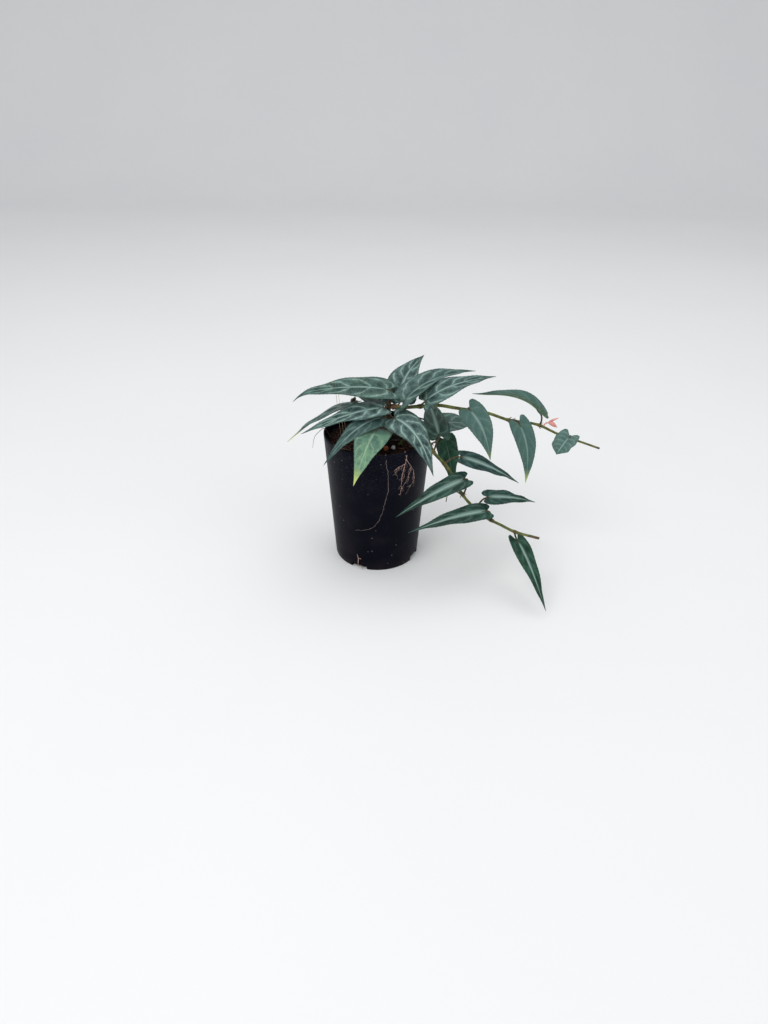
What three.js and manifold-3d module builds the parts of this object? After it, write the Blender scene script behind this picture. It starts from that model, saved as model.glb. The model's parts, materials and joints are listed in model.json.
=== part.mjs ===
// A potted cissus: a tapered nursery pot of potting mix, a short woody crown, one vine arching out over
// the rim, a second one trailing down beside the pot, and cordate leaves on curved petioles.
// Millimetres and degrees, +Z up. The origin is the centre of the pot's underside, -Y is the front.
import * as THREE from 'three';
import { mergeVertices } from 'three/addons/utils/BufferGeometryUtils.js';
import Module from 'manifold-3d';

// Pot
const potHeight = 130;
const rimRadius = 50;
const baseRadius = 41;
const wallThickness = 1.4;
const floorThickness = 2;
const rimRound = 0.5;
const potSides = 48;
const drainCount = 4;
const drainWidth = 16;
const drainHeight = 5;
const drainDepth = 9;
const drainTurn = -114;

// Potting mix
const headspace = 9;
const mixDome = 1.5;

// Plant
const fitGap = 0.3;
const crownX = 9;
const crownY = 1;
const crownHeight = 38;
const crownRadius = 2.4;
const rootedDepth = 8;
const vineRadius = 1.6;
const vineTipRadius = 0.9;
const trailRadius = 1.5;
const trailTipRadius = 1.1;
const trailTurn = -27;
const trailRimClearance = 4;
const trailDrop = 68;
const petioleRadius = 0.9;
const bladeThickness = 0.9;
const rootRadius = 0.45;
const stubDrop = 8;
const budRadius = 2.2;
const beadRadius = 2.3;
const perliteRadius = 1.8;
const crownSteps = 8;
const vineSteps = 36;

const mixTop = potHeight - headspace;
const radians = THREE.MathUtils.degToRad;
const lerp = THREE.MathUtils.lerp;

const wasm = await Module();
wasm.setup();

const material = (color, roughness) => new THREE.MeshStandardMaterial({ color, roughness, metalness: 0 });
const colours = {
  pot: material(0x14151a, 0.45),
  mix: material(0x33211a, 0.95),
  bark: material(0x6a4a30, 0.85),
  vine: material(0x6d6b34, 0.6),
  leaf: material(0x2c4f4a, 0.5),
  paleLeaf: material(0x7ea373, 0.55),
  greenLeaf: material(0x1c4a2e, 0.5),
  root: material(0xa98a6a, 0.8),
  shoot: material(0xc88078, 0.55),
  bead: material(0xb4602c, 0.6),
  perlite: material(0xd8d8d4, 0.9),
};

const plant = new THREE.Group();

function addPart(name, geometry, colour, position = new THREE.Vector3(), turn = new THREE.Quaternion()) {
  const mesh = new THREE.Mesh(geometry, colour.clone());
  mesh.name = name;
  mesh.position.copy(position);
  mesh.quaternion.copy(turn);
  plant.add(mesh);
  return mesh;
}

// Booleans

function welded(geometry) {
  const bare = geometry.clone();
  bare.deleteAttribute('normal');
  bare.deleteAttribute('uv');
  return mergeVertices(bare, 1e-4);
}

function toSolid(geometry) {
  const closed = welded(geometry);
  const vertProperties = new Float32Array(closed.attributes.position.array);
  const triVerts = new Uint32Array(closed.index.array);
  return new wasm.Manifold(new wasm.Mesh({ numProp: 3, vertProperties, triVerts }));
}

function toGeometry(solid) {
  const cut = solid.getMesh();
  const geometry = new THREE.BufferGeometry();
  geometry.setAttribute('position', new THREE.BufferAttribute(cut.vertProperties.slice(), 3));
  geometry.setIndex(new THREE.BufferAttribute(cut.triVerts.slice(), 1));
  geometry.computeVertexNormals();
  return geometry;
}

// Places

const outsideRadius = (height) => lerp(baseRadius, rimRadius, height / potHeight);

function around(turn, radius, height) {
  return new THREE.Vector3(radius * Math.cos(radians(turn)), radius * Math.sin(radians(turn)), height);
}

// A lathe turns about +Y, so its shapes are stood up to turn about +Z.
function turned(profile, sides) {
  const section = profile.map(([r, z]) => new THREE.Vector2(r, z));
  return new THREE.LatheGeometry(section, sides).rotateX(Math.PI / 2);
}

// A tube along a curve, its radius going evenly from one end to the other.
function taperedTube(path, startRadius, endRadius, steps, sides = 8) {
  const ring = [];
  for (let i = 0; i < sides; i++) {
    const angle = (2 * Math.PI * i) / sides;
    ring.push(new THREE.Vector2(startRadius * Math.cos(angle), startRadius * Math.sin(angle)));
  }
  const tube = new THREE.ExtrudeGeometry(new THREE.Shape(ring), { steps, extrudePath: path });
  const centres = path.getSpacedPoints(steps);
  const places = tube.attributes.position;
  const place = new THREE.Vector3();
  for (let i = 0; i < places.count; i++) {
    place.fromBufferAttribute(places, i);
    const gaps = centres.map((centre) => centre.distanceTo(place));
    const nearest = gaps.indexOf(Math.min(...gaps));
    const scale = lerp(startRadius, endRadius, nearest / steps) / startRadius;
    place.sub(centres[nearest]).multiplyScalar(scale).add(centres[nearest]);
    places.setXYZ(i, place.x, place.y, place.z);
  }
  return tube;
}

const curveThrough = (points) => new THREE.CatmullRomCurve3(points, false, 'centripetal');

// A place on a curve is counted in the points that it goes through: 2.5 is halfway from point 2 to point 3.
const shareAt = (path, at) => at / (path.points.length - 1);
const stemPoint = (path, at) => path.getPoint(shareAt(path, at));

// Pot: a tapered wall with a plain rounded rim, a flat floor and drain notches in its lower edge.
function potGeometry() {
  const inner = (height) => outsideRadius(height) - wallThickness;
  const shell = turned([
    [0, 0],
    [baseRadius, 0],
    [rimRadius, potHeight - rimRound],
    [rimRadius - rimRound, potHeight],
    [rimRadius - wallThickness + rimRound / 2, potHeight],
    [inner(potHeight), potHeight - rimRound],
    [inner(floorThickness), floorThickness],
    [0, floorThickness],
  ], potSides);
  let pot = toSolid(shell);
  for (let i = 0; i < drainCount; i++) {
    const turn = drainTurn + (360 * i) / drainCount;
    const notch = new THREE.BoxGeometry(drainDepth, drainWidth, 2 * drainHeight);
    const place = around(turn, baseRadius, 0);
    notch.rotateZ(radians(turn)).translate(place.x, place.y, place.z);
    pot = pot.subtract(toSolid(notch));
  }
  return toGeometry(pot);
}

// Potting mix: fills the pot to the headspace, with a blind hole round each rooted stem.
function mixGeometry(rootedStems) {
  const bottom = floorThickness + fitGap;
  const inside = (height) => outsideRadius(height) - wallThickness - fitGap;
  let mix = toSolid(turned([
    [0, bottom],
    [inside(bottom), bottom],
    [inside(mixTop), mixTop],
    [inside(mixTop) * 0.6, mixTop + mixDome * 0.6],
    [0, mixTop + mixDome],
  ], potSides));
  for (const { path, radius, steps } of rootedStems) {
    mix = mix.subtract(toSolid(taperedTube(path, radius + fitGap, radius + fitGap, steps)));
  }
  return toGeometry(mix);
}

// Stems. The upper vine's heights are measured from the crown's top.
const crownTop = mixTop + crownHeight;
const crownPath = curveThrough([
  new THREE.Vector3(crownX - 1, crownY + 1, mixTop - rootedDepth),
  new THREE.Vector3(crownX, crownY + 0.5, mixTop + crownHeight / 3),
  new THREE.Vector3(crownX + 1, crownY - 1, crownTop),
]);

const vineStart = crownX + 1 + crownRadius + fitGap;
const upperVinePath = curveThrough([
  [vineStart, 0, -4], [24, -2, -4], [38, -2, -3], [55, -1, -2], [72, 0, -5], [101, 1, -10],
  [121, 2, -17], [139, 2, -19.5], [150, 2, -22], [168, 1, -30], [186, 0, -36], [208, -2, -43],
].map(([x, y, up]) => new THREE.Vector3(x, y, crownTop + up)));

// The trailing vine leaves the mix, clears the rim and comes down outside the pot in one upright plane.
// Each later point is its distance beyond the rim and its share of the vine's whole drop below it.
const rimCrossing = potHeight + trailRadius + trailRimClearance;
const trailPath = curveThrough([
  around(trailTurn, rimRadius - 30, mixTop - rootedDepth),
  around(trailTurn, rimRadius - 25, mixTop + 3),
  around(trailTurn, rimRadius - 12, rimCrossing - 1),
  around(trailTurn, rimRadius - 2, rimCrossing),
  around(trailTurn, rimRadius + 7, potHeight - 7.5),
  ...[
    [16, 0.22], [24, 0.33], [34, 0.57], [45, 0.74], [63, 0.9], [76, 0.95], [90, 1], [113, 1],
  ].map(([beyond, drop]) => {
    return around(trailTurn, rimRadius + beyond, potHeight - drop * trailDrop);
  }),
]);

const stubPath = curveThrough([
  new THREE.Vector3(-19, 20, mixTop - rootedDepth),
  new THREE.Vector3(-20, 20, mixTop + (crownHeight - stubDrop) / 2),
  new THREE.Vector3(-22, 20, crownTop - stubDrop),
]);

// Fine roots come up out of the mix, over the rim and down the wall. Each point is its turn round the
// pot and its drop below the rim.
const wallGap = rootRadius + fitGap;

function overRim(turn) {
  return [
    around(turn, rimRadius - wallThickness - 3, mixTop + 2),
    around(turn, rimRadius - wallThickness - wallGap - 0.8, potHeight - 1),
    around(turn, rimRadius - wallThickness / 2, potHeight + wallGap + 0.7),
    around(turn, rimRadius + wallGap + 0.3, potHeight - 1),
  ];
}

const onWall = ([turn, drop]) => {
  const height = potHeight - drop;
  return around(turn, outsideRadius(height) + wallGap + 0.2, height);
};
const longRootPath = curveThrough([
  ...overRim(-81),
  ...[[-80, 9], [-78, 20], [-77, 36], [-80, 49], [-85, 66], [-93, 77], [-104, 82], [-116, 84]].map(onWall),
]);
const rootStrands = [
  [...overRim(-60), ...[[-58, 6], [-60, 14], [-62, 26], [-62, 38], [-64, 44]].map(onWall)],
  [[-58.5, 7], [-51, 17], [-54, 25], [-56, 31], [-61, 37]].map(onWall),
  [[-51.5, 16], [-47, 22], [-45, 32], [-50, 37], [-62, 37.5]].map(onWall),
  [[-59.5, 12], [-63, 13], [-68, 14], [-72, 17]].map(onWall),
];

// A tendril curls away under the trailing vine, and a young shoot breaks from a node of the upper one.
const tendrilStart = stemPoint(trailPath, 7.53);
const tendrilPath = curveThrough([
  tendrilStart.clone().add(new THREE.Vector3(-1.3, 2, 0)),
  tendrilStart.clone().add(new THREE.Vector3(-8, 4, 3)),
  tendrilStart.clone().add(new THREE.Vector3(-14, 4, -1)),
  tendrilStart.clone().add(new THREE.Vector3(-15.5, 3, -8)),
]);
const shootStart = stemPoint(upperVinePath, 8.21);
const fromShoot = (x, y, z) => shootStart.clone().add(new THREE.Vector3(x, y, z));
const shootStalkPath = curveThrough([
  fromShoot(0.5, 0, vineRadius + 0.2),
  fromShoot(2, -0.3, 3.6),
  fromShoot(5, -1, 5),
]);
const shootLeafPath = curveThrough([
  fromShoot(4.5, -1, 4.8),
  fromShoot(8, -1.5, 6.5),
  fromShoot(13, -2, 10),
]);
const shootBudPath = curveThrough([fromShoot(4.5, -1, 4.8), fromShoot(7, -2, 3.8), fromShoot(9, -3, 2.6)]);

const stems = {
  crown: { path: crownPath, radius: () => crownRadius },
  vine: { path: upperVinePath, radius: (share) => lerp(vineRadius, vineTipRadius, share) },
  trail: { path: trailPath, radius: (share) => lerp(trailRadius, trailTipRadius, share) },
};

// Leaves

// Outline of half a blade: share of the length along the midrib, then the edge's share of the length
// and of the half width. The first points are the heart-shaped lobe behind the petiole.
const outline = curveThrough([
  [0, 0, 0], [0.02, -0.035, 0.2], [0.06, -0.095, 0.5], [0.12, -0.07, 0.8], [0.19, 0.04, 0.97],
  [0.28, 0.17, 1], [0.4, 0.33, 0.91], [0.53, 0.49, 0.71], [0.67, 0.65, 0.46], [0.8, 0.79, 0.25],
  [0.91, 0.905, 0.1], [1, 1, 0],
].map(([mid, along, across]) => new THREE.Vector3(mid, along, across)));
const bladeRings = 10;
const petioleRings = [0.05, 0.35, 0.68, 0.95];

// Round one ring of a leaf: across from the left edge, under the blade, to the right edge and back.
const ringAcross = [1, 0.55, 0, -0.55, -1, -0.55, 0, 0.55];
const ringSide = [0, -1, -1, -1, 0, 1, 1, 1];

const plainLeaf = {
  roll: 0, arch: 25, curl: 0, sway: 0, fold: 12, cup: -20, lobe: 1, kept: 1, rest: 0.45, lift: 0,
  colour: colours.leaf,
};

// Frames down the midrib, bent down by arch and curl and sideways by sway, with the tip on +X.
function midrib(leaf) {
  const steps = 30;
  const frames = [];
  const point = new THREE.Vector3();
  for (let i = 0; i <= steps; i++) {
    const share = i / steps;
    const settled = -((1 - share) ** 2);
    const down = leaf.arch * settled + leaf.curl * Math.max(0, (share - 0.7) / 0.3);
    const bend = new THREE.Euler(0, radians(down), radians(leaf.sway * settled), 'ZYX');
    const turn = new THREE.Quaternion().setFromEuler(bend);
    frames.push({ point: point.clone(), turn });
    point.addScaledVector(new THREE.Vector3(1, 0, 0).applyQuaternion(turn), leaf.length / steps);
  }
  const toTip = frames[steps].point.clone().normalize();
  const level = new THREE.Quaternion().setFromUnitVectors(toTip, new THREE.Vector3(1, 0, 0));
  for (const frame of frames) {
    frame.point.applyQuaternion(level);
    frame.turn.premultiply(level);
  }
  return (share) => {
    const place = THREE.MathUtils.clamp(share, 0, 1) * steps;
    const i = Math.min(Math.floor(place), steps - 1);
    const turn = frames[i].turn.clone().slerp(frames[i + 1].turn, place - i);
    const at = frames[i].point.clone().lerp(frames[i + 1].point, place - i);
    if (share < 0) at.addScaledVector(new THREE.Vector3(1, 0, 0).applyQuaternion(turn), share * leaf.length);
    return { point: at, turn };
  };
}

// A point of the blade: across runs from -1 at the right edge to 1 at the left, side is 1 on top.
function bladePoint(leaf, frameAt, ring, across, side) {
  const [mid, along, wide] = outline.getPoint(leaf.kept * ring / (bladeRings + 1)).toArray();
  const edge = along < 0 ? along * leaf.lobe : along;
  const { point, turn } = frameAt(lerp(mid, edge, Math.abs(across) ** 1.5));
  const out = Math.abs(across) * wide;
  const reach = out * leaf.width / 2;
  const rise = radians(leaf.fold + leaf.cup * out / 2);
  const thick = side * (bladeThickness / 2) * (1 - 0.5 * mid) * (1 - 0.4 * Math.abs(across));
  const aside = Math.sign(across) * reach * Math.cos(rise);
  const offset = new THREE.Vector3(0, aside, reach * Math.sin(rise) + thick);
  return point.add(offset.applyQuaternion(turn));
}

// The faces between a leaf's rings. The last half of each ring is the top of the blade, and its faces are
// split along the same diagonal as the ones below them, so that the two sides of a twisted blade stay apart.
function leafFaces(rings, sides) {
  const corner = (row, column) => row * (sides + 1) + column;
  const faces = [];
  for (let row = 0; row <= rings; row++) {
    for (let column = 0; column < sides; column++) {
      const [near, nearNext] = [corner(row, column), corner(row, column + 1)];
      const [far, farNext] = [corner(row + 1, column), corner(row + 1, column + 1)];
      if (row === 0) faces.push(near, far, farNext);
      else if (row === rings) faces.push(nearNext, near, farNext);
      else if (column < sides / 2) faces.push(nearNext, near, farNext, near, far, farNext);
      else faces.push(nearNext, near, far, nearNext, far, farNext);
    }
  }
  return faces;
}

// One closed body: the rings of a sphere are moved to the petiole's and then the blade's, and its
// poles to the petiole's foot and the leaf's tip.
function leafGeometry(leaf, foot, up) {
  const rings = petioleRings.length + bladeRings;
  const geometry = new THREE.SphereGeometry(1, ringAcross.length, rings + 1);
  const frameAt = midrib(leaf);
  const heel = frameAt(0);
  const forward = new THREE.Vector3(1, 0, 0).applyQuaternion(heel.turn);
  const bow = forward.clone().multiplyScalar(-leaf.rest * foot.length()).addScaledVector(up, leaf.lift);
  const petiole = new THREE.QuadraticBezierCurve3(foot, bow, heel.point);
  const left = new THREE.Vector3(0, 1, 0).applyQuaternion(heel.turn);
  const petiolePoint = (share, k) => {
    const along = petiole.getTangent(share);
    const side = left.clone().addScaledVector(along, -left.dot(along)).normalize();
    const up = along.clone().cross(side);
    const angle = (2 * Math.PI * k) / ringAcross.length;
    return petiole.getPoint(share)
      .addScaledVector(side, petioleRadius * Math.cos(angle))
      .addScaledVector(up, -petioleRadius * Math.sin(angle));
  };
  const places = geometry.attributes.position;
  for (let i = 0; i < places.count; i++) {
    const row = Math.floor(i / (ringAcross.length + 1));
    const column = (i % (ringAcross.length + 1)) % ringAcross.length;
    let place;
    if (row === 0) place = foot.clone();
    else if (row > rings) place = frameAt(outline.getPoint(leaf.kept).x).point;
    else if (row <= petioleRings.length) place = petiolePoint(petioleRings[row - 1], column);
    else place = bladePoint(leaf, frameAt, row - petioleRings.length, ringAcross[column], ringSide[column]);
    places.setXYZ(i, place.x, place.y, place.z);
  }
  geometry.setIndex(leafFaces(rings, ringAcross.length));
  return geometry;
}

// The pitch in degrees of a line from a leaf's base that passes over the pot's rim, at a height above it.
function pitchOverRim(base, heading, above) {
  const ahead = around(heading, 1, 0);
  const along = base.x * ahead.x + base.y * ahead.y;
  const aside = base.x * ahead.y - base.y * ahead.x;
  const reach = Math.sqrt(rimRadius ** 2 - aside ** 2) - along;
  return THREE.MathUtils.radToDeg(Math.atan2(potHeight + above - base.z, reach));
}

// A leaf hangs from a stem: its foot is at a place along the stem and its blade starts at an offset from
// there, or at a base of its own. Heading, pitch and roll set the line from blade base to tip and the way
// the leaf faces.
function addLeaf(name, spec) {
  const leaf = { ...plainLeaf, ...spec };
  const stem = stems[leaf.stem];
  const joint = stemPoint(stem.path, leaf.at);
  const base = leaf.base
    ? new THREE.Vector3(...leaf.base)
    : joint.clone().add(new THREE.Vector3(...leaf.offset));
  const pitch = leaf.pitch ?? pitchOverRim(base, leaf.heading, leaf.overRim);
  const turn = new THREE.Quaternion().setFromEuler(
    new THREE.Euler(radians(leaf.roll), radians(-pitch), radians(leaf.heading), 'ZYX'));
  const away = leaf.leave ? new THREE.Vector3(...leaf.leave) : base.clone().sub(joint);
  const along = stem.path.getTangent(shareAt(stem.path, leaf.at));
  away.addScaledVector(along, -away.dot(along)).normalize();
  const foot = joint.addScaledVector(away, stem.radius(shareAt(stem.path, leaf.at)) + fitGap);
  const unturn = turn.clone().invert();
  foot.sub(base).applyQuaternion(unturn);
  const up = new THREE.Vector3(0, 0, 1).applyQuaternion(unturn);
  addPart(name, leafGeometry(leaf, foot, up), leaf.colour, base, turn);
}

const leaves = {
  leaf_left_long: {
    stem: 'crown', at: 1.82, leave: [0.3, 1, 0], offset: [0, 3, 15], heading: 183, pitch: -7, roll: -25,
    length: 92, width: 26, arch: 30, curl: 45,
  },
  leaf_left_mid: {
    stem: 'crown', at: 1.87, offset: [-4, -8, 1], heading: 197, pitch: -12, roll: -14, length: 79, width: 24,
    lobe: 0.6,
  },
  leaf_left_low: {
    stem: 'crown', at: 1.64, offset: [-31, 8, 3], heading: 187, pitch: -29, roll: 6, length: 74, width: 20,
    arch: 32,
  },
  leaf_left_back: {
    stem: 'crown', at: 1.75, offset: [-6, 7, 3], heading: 148, pitch: 6, roll: -5, length: 60, width: 24,
  },
  leaf_front_left: {
    stem: 'crown', at: 1.5, offset: [-4, -11, 2], heading: 219, overRim: -0.8, roll: -24,
    length: 75, width: 19, arch: 45, sway: 25,
  },
  leaf_front_pale: {
    stem: 'crown', at: 1.1, offset: [-8.7, -17.3, 3.5], heading: 250.5, overRim: -6.5, roll: -8,
    length: 69, width: 31, arch: 58, colour: colours.paleLeaf,
  },
  leaf_upright: {
    stem: 'vine', at: 0.36, offset: [3.5, 8.5, 1.5], heading: 63, pitch: 29, roll: 22, length: 61, width: 31,
    sway: -40, lobe: 0.4,
  },
  leaf_right_arched: {
    stem: 'vine', at: 0.97, offset: [0, 0.5, 4.5], heading: 26, pitch: 14, roll: 12, length: 81, width: 26,
    arch: 58, fold: 34, lobe: 0.9,
  },
  leaf_right_upper: {
    stem: 'vine', at: 2.04, offset: [4, -6, 7.4], heading: 11, pitch: 17, roll: 24, length: 70, width: 24,
    arch: 50, lobe: 0.6,
  },
  leaf_front_right: {
    stem: 'crown', at: 1.73, offset: [5, -11.6 - vineRadius, -1.4 - vineRadius], heading: -53,
    overRim: 1.1, roll: 8, length: 70, width: 29, arch: 40, sway: -35, lobe: 0.6,
  },
  leaf_back_dark: {
    stem: 'trail', at: 3.57, offset: [9, 13, 3], heading: 97, pitch: 6, roll: -4, length: 70, width: 23,
  },
  leaf_back_grey: {
    stem: 'crown', at: 1.28, base: [rimRadius + 5.3, 26.2, potHeight - 4.4], heading: 6, pitch: -3, roll: 18,
    length: 44, width: 30, lobe: 0.5, lift: 0.36 * rimRadius,
  },
  vine_leaf_1: {
    stem: 'vine', at: 4.51, offset: [-4, -6, 4], heading: -16, pitch: -64, roll: 72, length: 56, width: 23,
    sway: -35,
  },
  vine_leaf_2: {
    stem: 'vine', at: 6.24, offset: [4, -7, 1], heading: -20, pitch: -78, roll: 76, length: 64, width: 19,
    sway: -35,
  },
  vine_leaf_3: {
    stem: 'vine', at: 8.02, offset: [-1, 0, 12], heading: 171, pitch: 13, length: 68, width: 20,
    arch: 60, curl: -15, fold: 45,
  },
  vine_leaf_4: {
    stem: 'vine', at: 9.63, offset: [-1, -5, 4], heading: -137, pitch: -38, roll: -10, length: 40, width: 21,
    fold: 25, kept: 0.66,
  },
  trail_leaf_1: {
    stem: 'trail', at: 5.31, offset: [15, 2, 6], heading: 5, pitch: -27, roll: 30, length: 64, width: 17,
    lobe: 0.7,
  },
  trail_leaf_2: {
    stem: 'trail', at: 4.02, offset: [12, 26, 0], heading: -41, pitch: -74, roll: 20, length: 48, width: 23,
    colour: colours.greenLeaf,
  },
  trail_leaf_3: {
    stem: 'trail', at: 7.41, offset: [1, 0, 16], heading: 199, pitch: -23, roll: -25, length: 72, width: 19,
    lobe: 0.8,
  },
  trail_leaf_4: {
    stem: 'trail', at: 8.43, leave: [0, 1, 0.4], offset: [10, 3, 11], heading: 10, pitch: -11, roll: 18,
    length: 48, width: 18,
  },
  trail_leaf_5: {
    stem: 'trail', at: 9.33, offset: [-4, 1, 9], heading: 195, pitch: -9, roll: -22, length: 76, width: 19,
    lobe: 0.6,
  },
  trail_leaf_6: {
    stem: 'trail', at: 11.04, offset: [3, 0, -9], heading: -63, pitch: -41, roll: 5, length: 69, width: 17,
  },
};

addPart('nursery_pot', potGeometry(), colours.pot);
addPart('potting_mix', mixGeometry([
  { path: crownPath, radius: crownRadius, steps: crownSteps },
  { path: trailPath, radius: trailRadius, steps: vineSteps },
  { path: stubPath, radius: crownRadius, steps: crownSteps },
]), colours.mix);
addPart('crown_stem', taperedTube(crownPath, crownRadius, crownRadius, crownSteps), colours.bark);
addPart('upper_vine', taperedTube(upperVinePath, vineRadius, vineTipRadius, vineSteps), colours.vine);
addPart('trailing_vine', taperedTube(trailPath, trailRadius, trailTipRadius, vineSteps), colours.vine);
addPart('dry_stub', taperedTube(stubPath, crownRadius, crownRadius * 0.8, crownSteps), colours.bark);
for (const [name, spec] of Object.entries(leaves)) addLeaf(name, spec);

function rootClusterGeometry() {
  const strands = rootStrands.map((points) => {
    return toSolid(taperedTube(curveThrough(points), rootRadius, rootRadius * 0.7, 16, 5));
  });
  return toGeometry(strands.reduce((joined, strand) => joined.add(strand)));
}

function shootGeometry() {
  const bud = new THREE.SphereGeometry(budRadius, 8, 6);
  const budPlace = fromShoot(10, -3.4, 2.2);
  bud.scale(1.3, 0.8, 0.9).translate(budPlace.x, budPlace.y, budPlace.z);
  return toGeometry(toSolid(taperedTube(shootStalkPath, 0.7, 0.7, 6, 6))
    .add(toSolid(taperedTube(shootLeafPath, 0.9, 0.3, 6, 6)))
    .add(toSolid(taperedTube(shootBudPath, 0.6, 0.6, 6, 6)))
    .add(toSolid(bud)));
}

addPart('long_root', taperedTube(longRootPath, rootRadius, rootRadius * 0.8, 36, 5), colours.root);
addPart('root_cluster', rootClusterGeometry(), colours.root);
addPart('tendril', taperedTube(tendrilPath, 0.6, 0.35, 12, 6), colours.vine);
addPart('young_shoot', shootGeometry(), colours.shoot);
addPart('fertiliser_bead', new THREE.SphereGeometry(beadRadius, 10, 8), colours.bead,
  new THREE.Vector3(8, -25, mixTop + mixDome + beadRadius));
addPart('perlite_grain', new THREE.IcosahedronGeometry(perliteRadius, 1), colours.perlite,
  new THREE.Vector3(15, -22, mixTop + mixDome + perliteRadius));

export default plant;
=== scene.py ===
import json
import math
import random

import bmesh
import bpy
import numpy as np
from mathutils import Matrix, Vector, noise

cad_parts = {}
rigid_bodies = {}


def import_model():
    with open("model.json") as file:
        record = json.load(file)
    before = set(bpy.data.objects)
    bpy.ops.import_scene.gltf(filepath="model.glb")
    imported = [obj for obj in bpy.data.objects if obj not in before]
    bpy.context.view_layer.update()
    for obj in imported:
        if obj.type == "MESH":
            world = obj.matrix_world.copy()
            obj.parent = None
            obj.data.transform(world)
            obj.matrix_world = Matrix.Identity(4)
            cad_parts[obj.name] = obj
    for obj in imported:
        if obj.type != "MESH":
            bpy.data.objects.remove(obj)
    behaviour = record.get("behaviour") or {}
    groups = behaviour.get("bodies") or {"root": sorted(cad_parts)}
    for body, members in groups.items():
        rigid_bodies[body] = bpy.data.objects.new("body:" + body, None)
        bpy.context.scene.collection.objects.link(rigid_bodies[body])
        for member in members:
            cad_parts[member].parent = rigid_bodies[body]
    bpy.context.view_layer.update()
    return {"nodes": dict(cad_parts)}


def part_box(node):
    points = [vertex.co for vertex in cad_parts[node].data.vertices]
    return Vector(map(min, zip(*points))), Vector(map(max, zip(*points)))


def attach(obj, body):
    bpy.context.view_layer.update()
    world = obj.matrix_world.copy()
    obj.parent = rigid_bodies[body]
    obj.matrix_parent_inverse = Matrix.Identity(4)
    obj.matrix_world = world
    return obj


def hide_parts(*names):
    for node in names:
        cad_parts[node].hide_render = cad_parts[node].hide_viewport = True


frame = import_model()
mm = 0.001


def say(text):
    print("plant:", text)


# Small helpers for nodes. A Wire is one socket; sums on it add Math nodes to its tree.

def sumFrom(operation):  # the wire comes first in the sum
    return lambda self, other: self.maths(operation, self, other)


def sumOnto(operation):  # the wire comes second
    return lambda self, other: self.maths(operation, other, self)


class Wire:
    __add__ = sumFrom("ADD")
    __radd__ = sumOnto("ADD")
    __sub__ = sumFrom("SUBTRACT")
    __rsub__ = sumOnto("SUBTRACT")
    __mul__ = sumFrom("MULTIPLY")
    __rmul__ = sumOnto("MULTIPLY")
    __truediv__ = sumFrom("DIVIDE")
    __rtruediv__ = sumOnto("DIVIDE")
    __pow__ = sumFrom("POWER")
    most = sumFrom("MAXIMUM")
    least = sumFrom("MINIMUM")

    def __init__(self, sheet, socket):
        self.sheet = sheet
        self.socket = socket

    def maths(self, operation, *values):
        return self.sheet.node("ShaderNodeMath", {"operation": operation}, dict(enumerate(values)))

    def __abs__(self):
        return self.maths("ABSOLUTE", self)

    def fraction(self):
        return self.maths("FRACT", self)

    def fade(self, start, end, low=0.0, high=1.0):  # smooth step from low at start to high at end
        return self.sheet.node(
            "ShaderNodeMapRange",
            {"interpolation_type": "SMOOTHSTEP"},
            {"Value": self, "From Min": start, "From Max": end, "To Min": low, "To Max": high},
        )


class Sheet:
    def __init__(self, tree):
        self.tree = tree

    def node(self, kind, settings=None, sockets=None, out=0):
        made = self.tree.nodes.new(kind)
        for name, value in (settings or {}).items():
            setattr(made, name, value)
        for name, value in (sockets or {}).items():
            if isinstance(value, Wire):
                self.tree.links.new(value.socket, made.inputs[name])
            else:
                made.inputs[name].default_value = value
        return Wire(self, made.outputs[out])

    def mix(self, share, first, second):
        return self.node("ShaderNodeMix", {"data_type": "RGBA"}, {0: share, 6: first, 7: second}, out=2)

    def attribute(self, name):
        return self.node("ShaderNodeAttribute", {"attribute_name": name}, out=2)

    def place(self):  # where a point lies on its object
        return self.node("ShaderNodeTexCoord", out=3)

    def noiseAt(self, place, scale, detail, rough=0.55, out=0):
        values = {"Vector": place, "Scale": scale, "Detail": detail, "Roughness": rough}
        return self.node("ShaderNodeTexNoise", {"noise_dimensions": "3D"}, values, out)

    def cellEdges(self, place, scale):  # distance to the edge of the nearest cell
        values = {"Vector": place, "Scale": scale}
        return self.node("ShaderNodeTexVoronoi", {"feature": "DISTANCE_TO_EDGE"}, values)


def colour(red, green, blue):  # from screen values to the linear values that sockets take
    return tuple(((v / 255 + 0.055) / 1.055) ** 2.4 if v > 10 else v / 255 / 12.92
                 for v in (red, green, blue)) + (1.0,)


def newSkin(name, **fixed):
    skin = bpy.data.materials.new(name)
    skin.use_nodes = True
    skin.node_tree.nodes.clear()
    sheet = Sheet(skin.node_tree)
    shader = skin.node_tree.nodes.new("ShaderNodeBsdfPrincipled")
    output = skin.node_tree.nodes.new("ShaderNodeOutputMaterial")
    skin.node_tree.links.new(shader.outputs[0], output.inputs[0])
    for socket, value in fixed.items():
        shader.inputs[socket.replace("_", " ")].default_value = value
    return skin, sheet, shader


def wireUp(sheet, shader, base, rough, height=None, depth=0.0001):
    sheet.tree.links.new(base.socket, shader.inputs["Base Color"])
    sheet.tree.links.new(rough.socket, shader.inputs["Roughness"])
    if height is not None:
        values = {"Height": height, "Distance": depth, "Strength": 1.0}
        bump = sheet.node("ShaderNodeBump", None, values)
        sheet.tree.links.new(bump.socket, shader.inputs["Normal"])


# Meshes

def showMesh(name, data, skins):
    for skin in skins:
        data.materials.append(skin)
    data.polygons.foreach_set("use_smooth", [True] * len(data.polygons))
    data.update()
    piece = bpy.data.objects.new(name, data)
    bpy.context.scene.collection.objects.link(piece)
    return piece


def meshPiece(name, points, faces, skins, slots=None):
    data = bpy.data.meshes.new(name)
    data.from_pydata([tuple(p) for p in points], [], faces)
    piece = showMesh(name, data, skins)
    if slots is not None:
        data.polygons.foreach_set("material_index", slots)
    return piece


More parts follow.
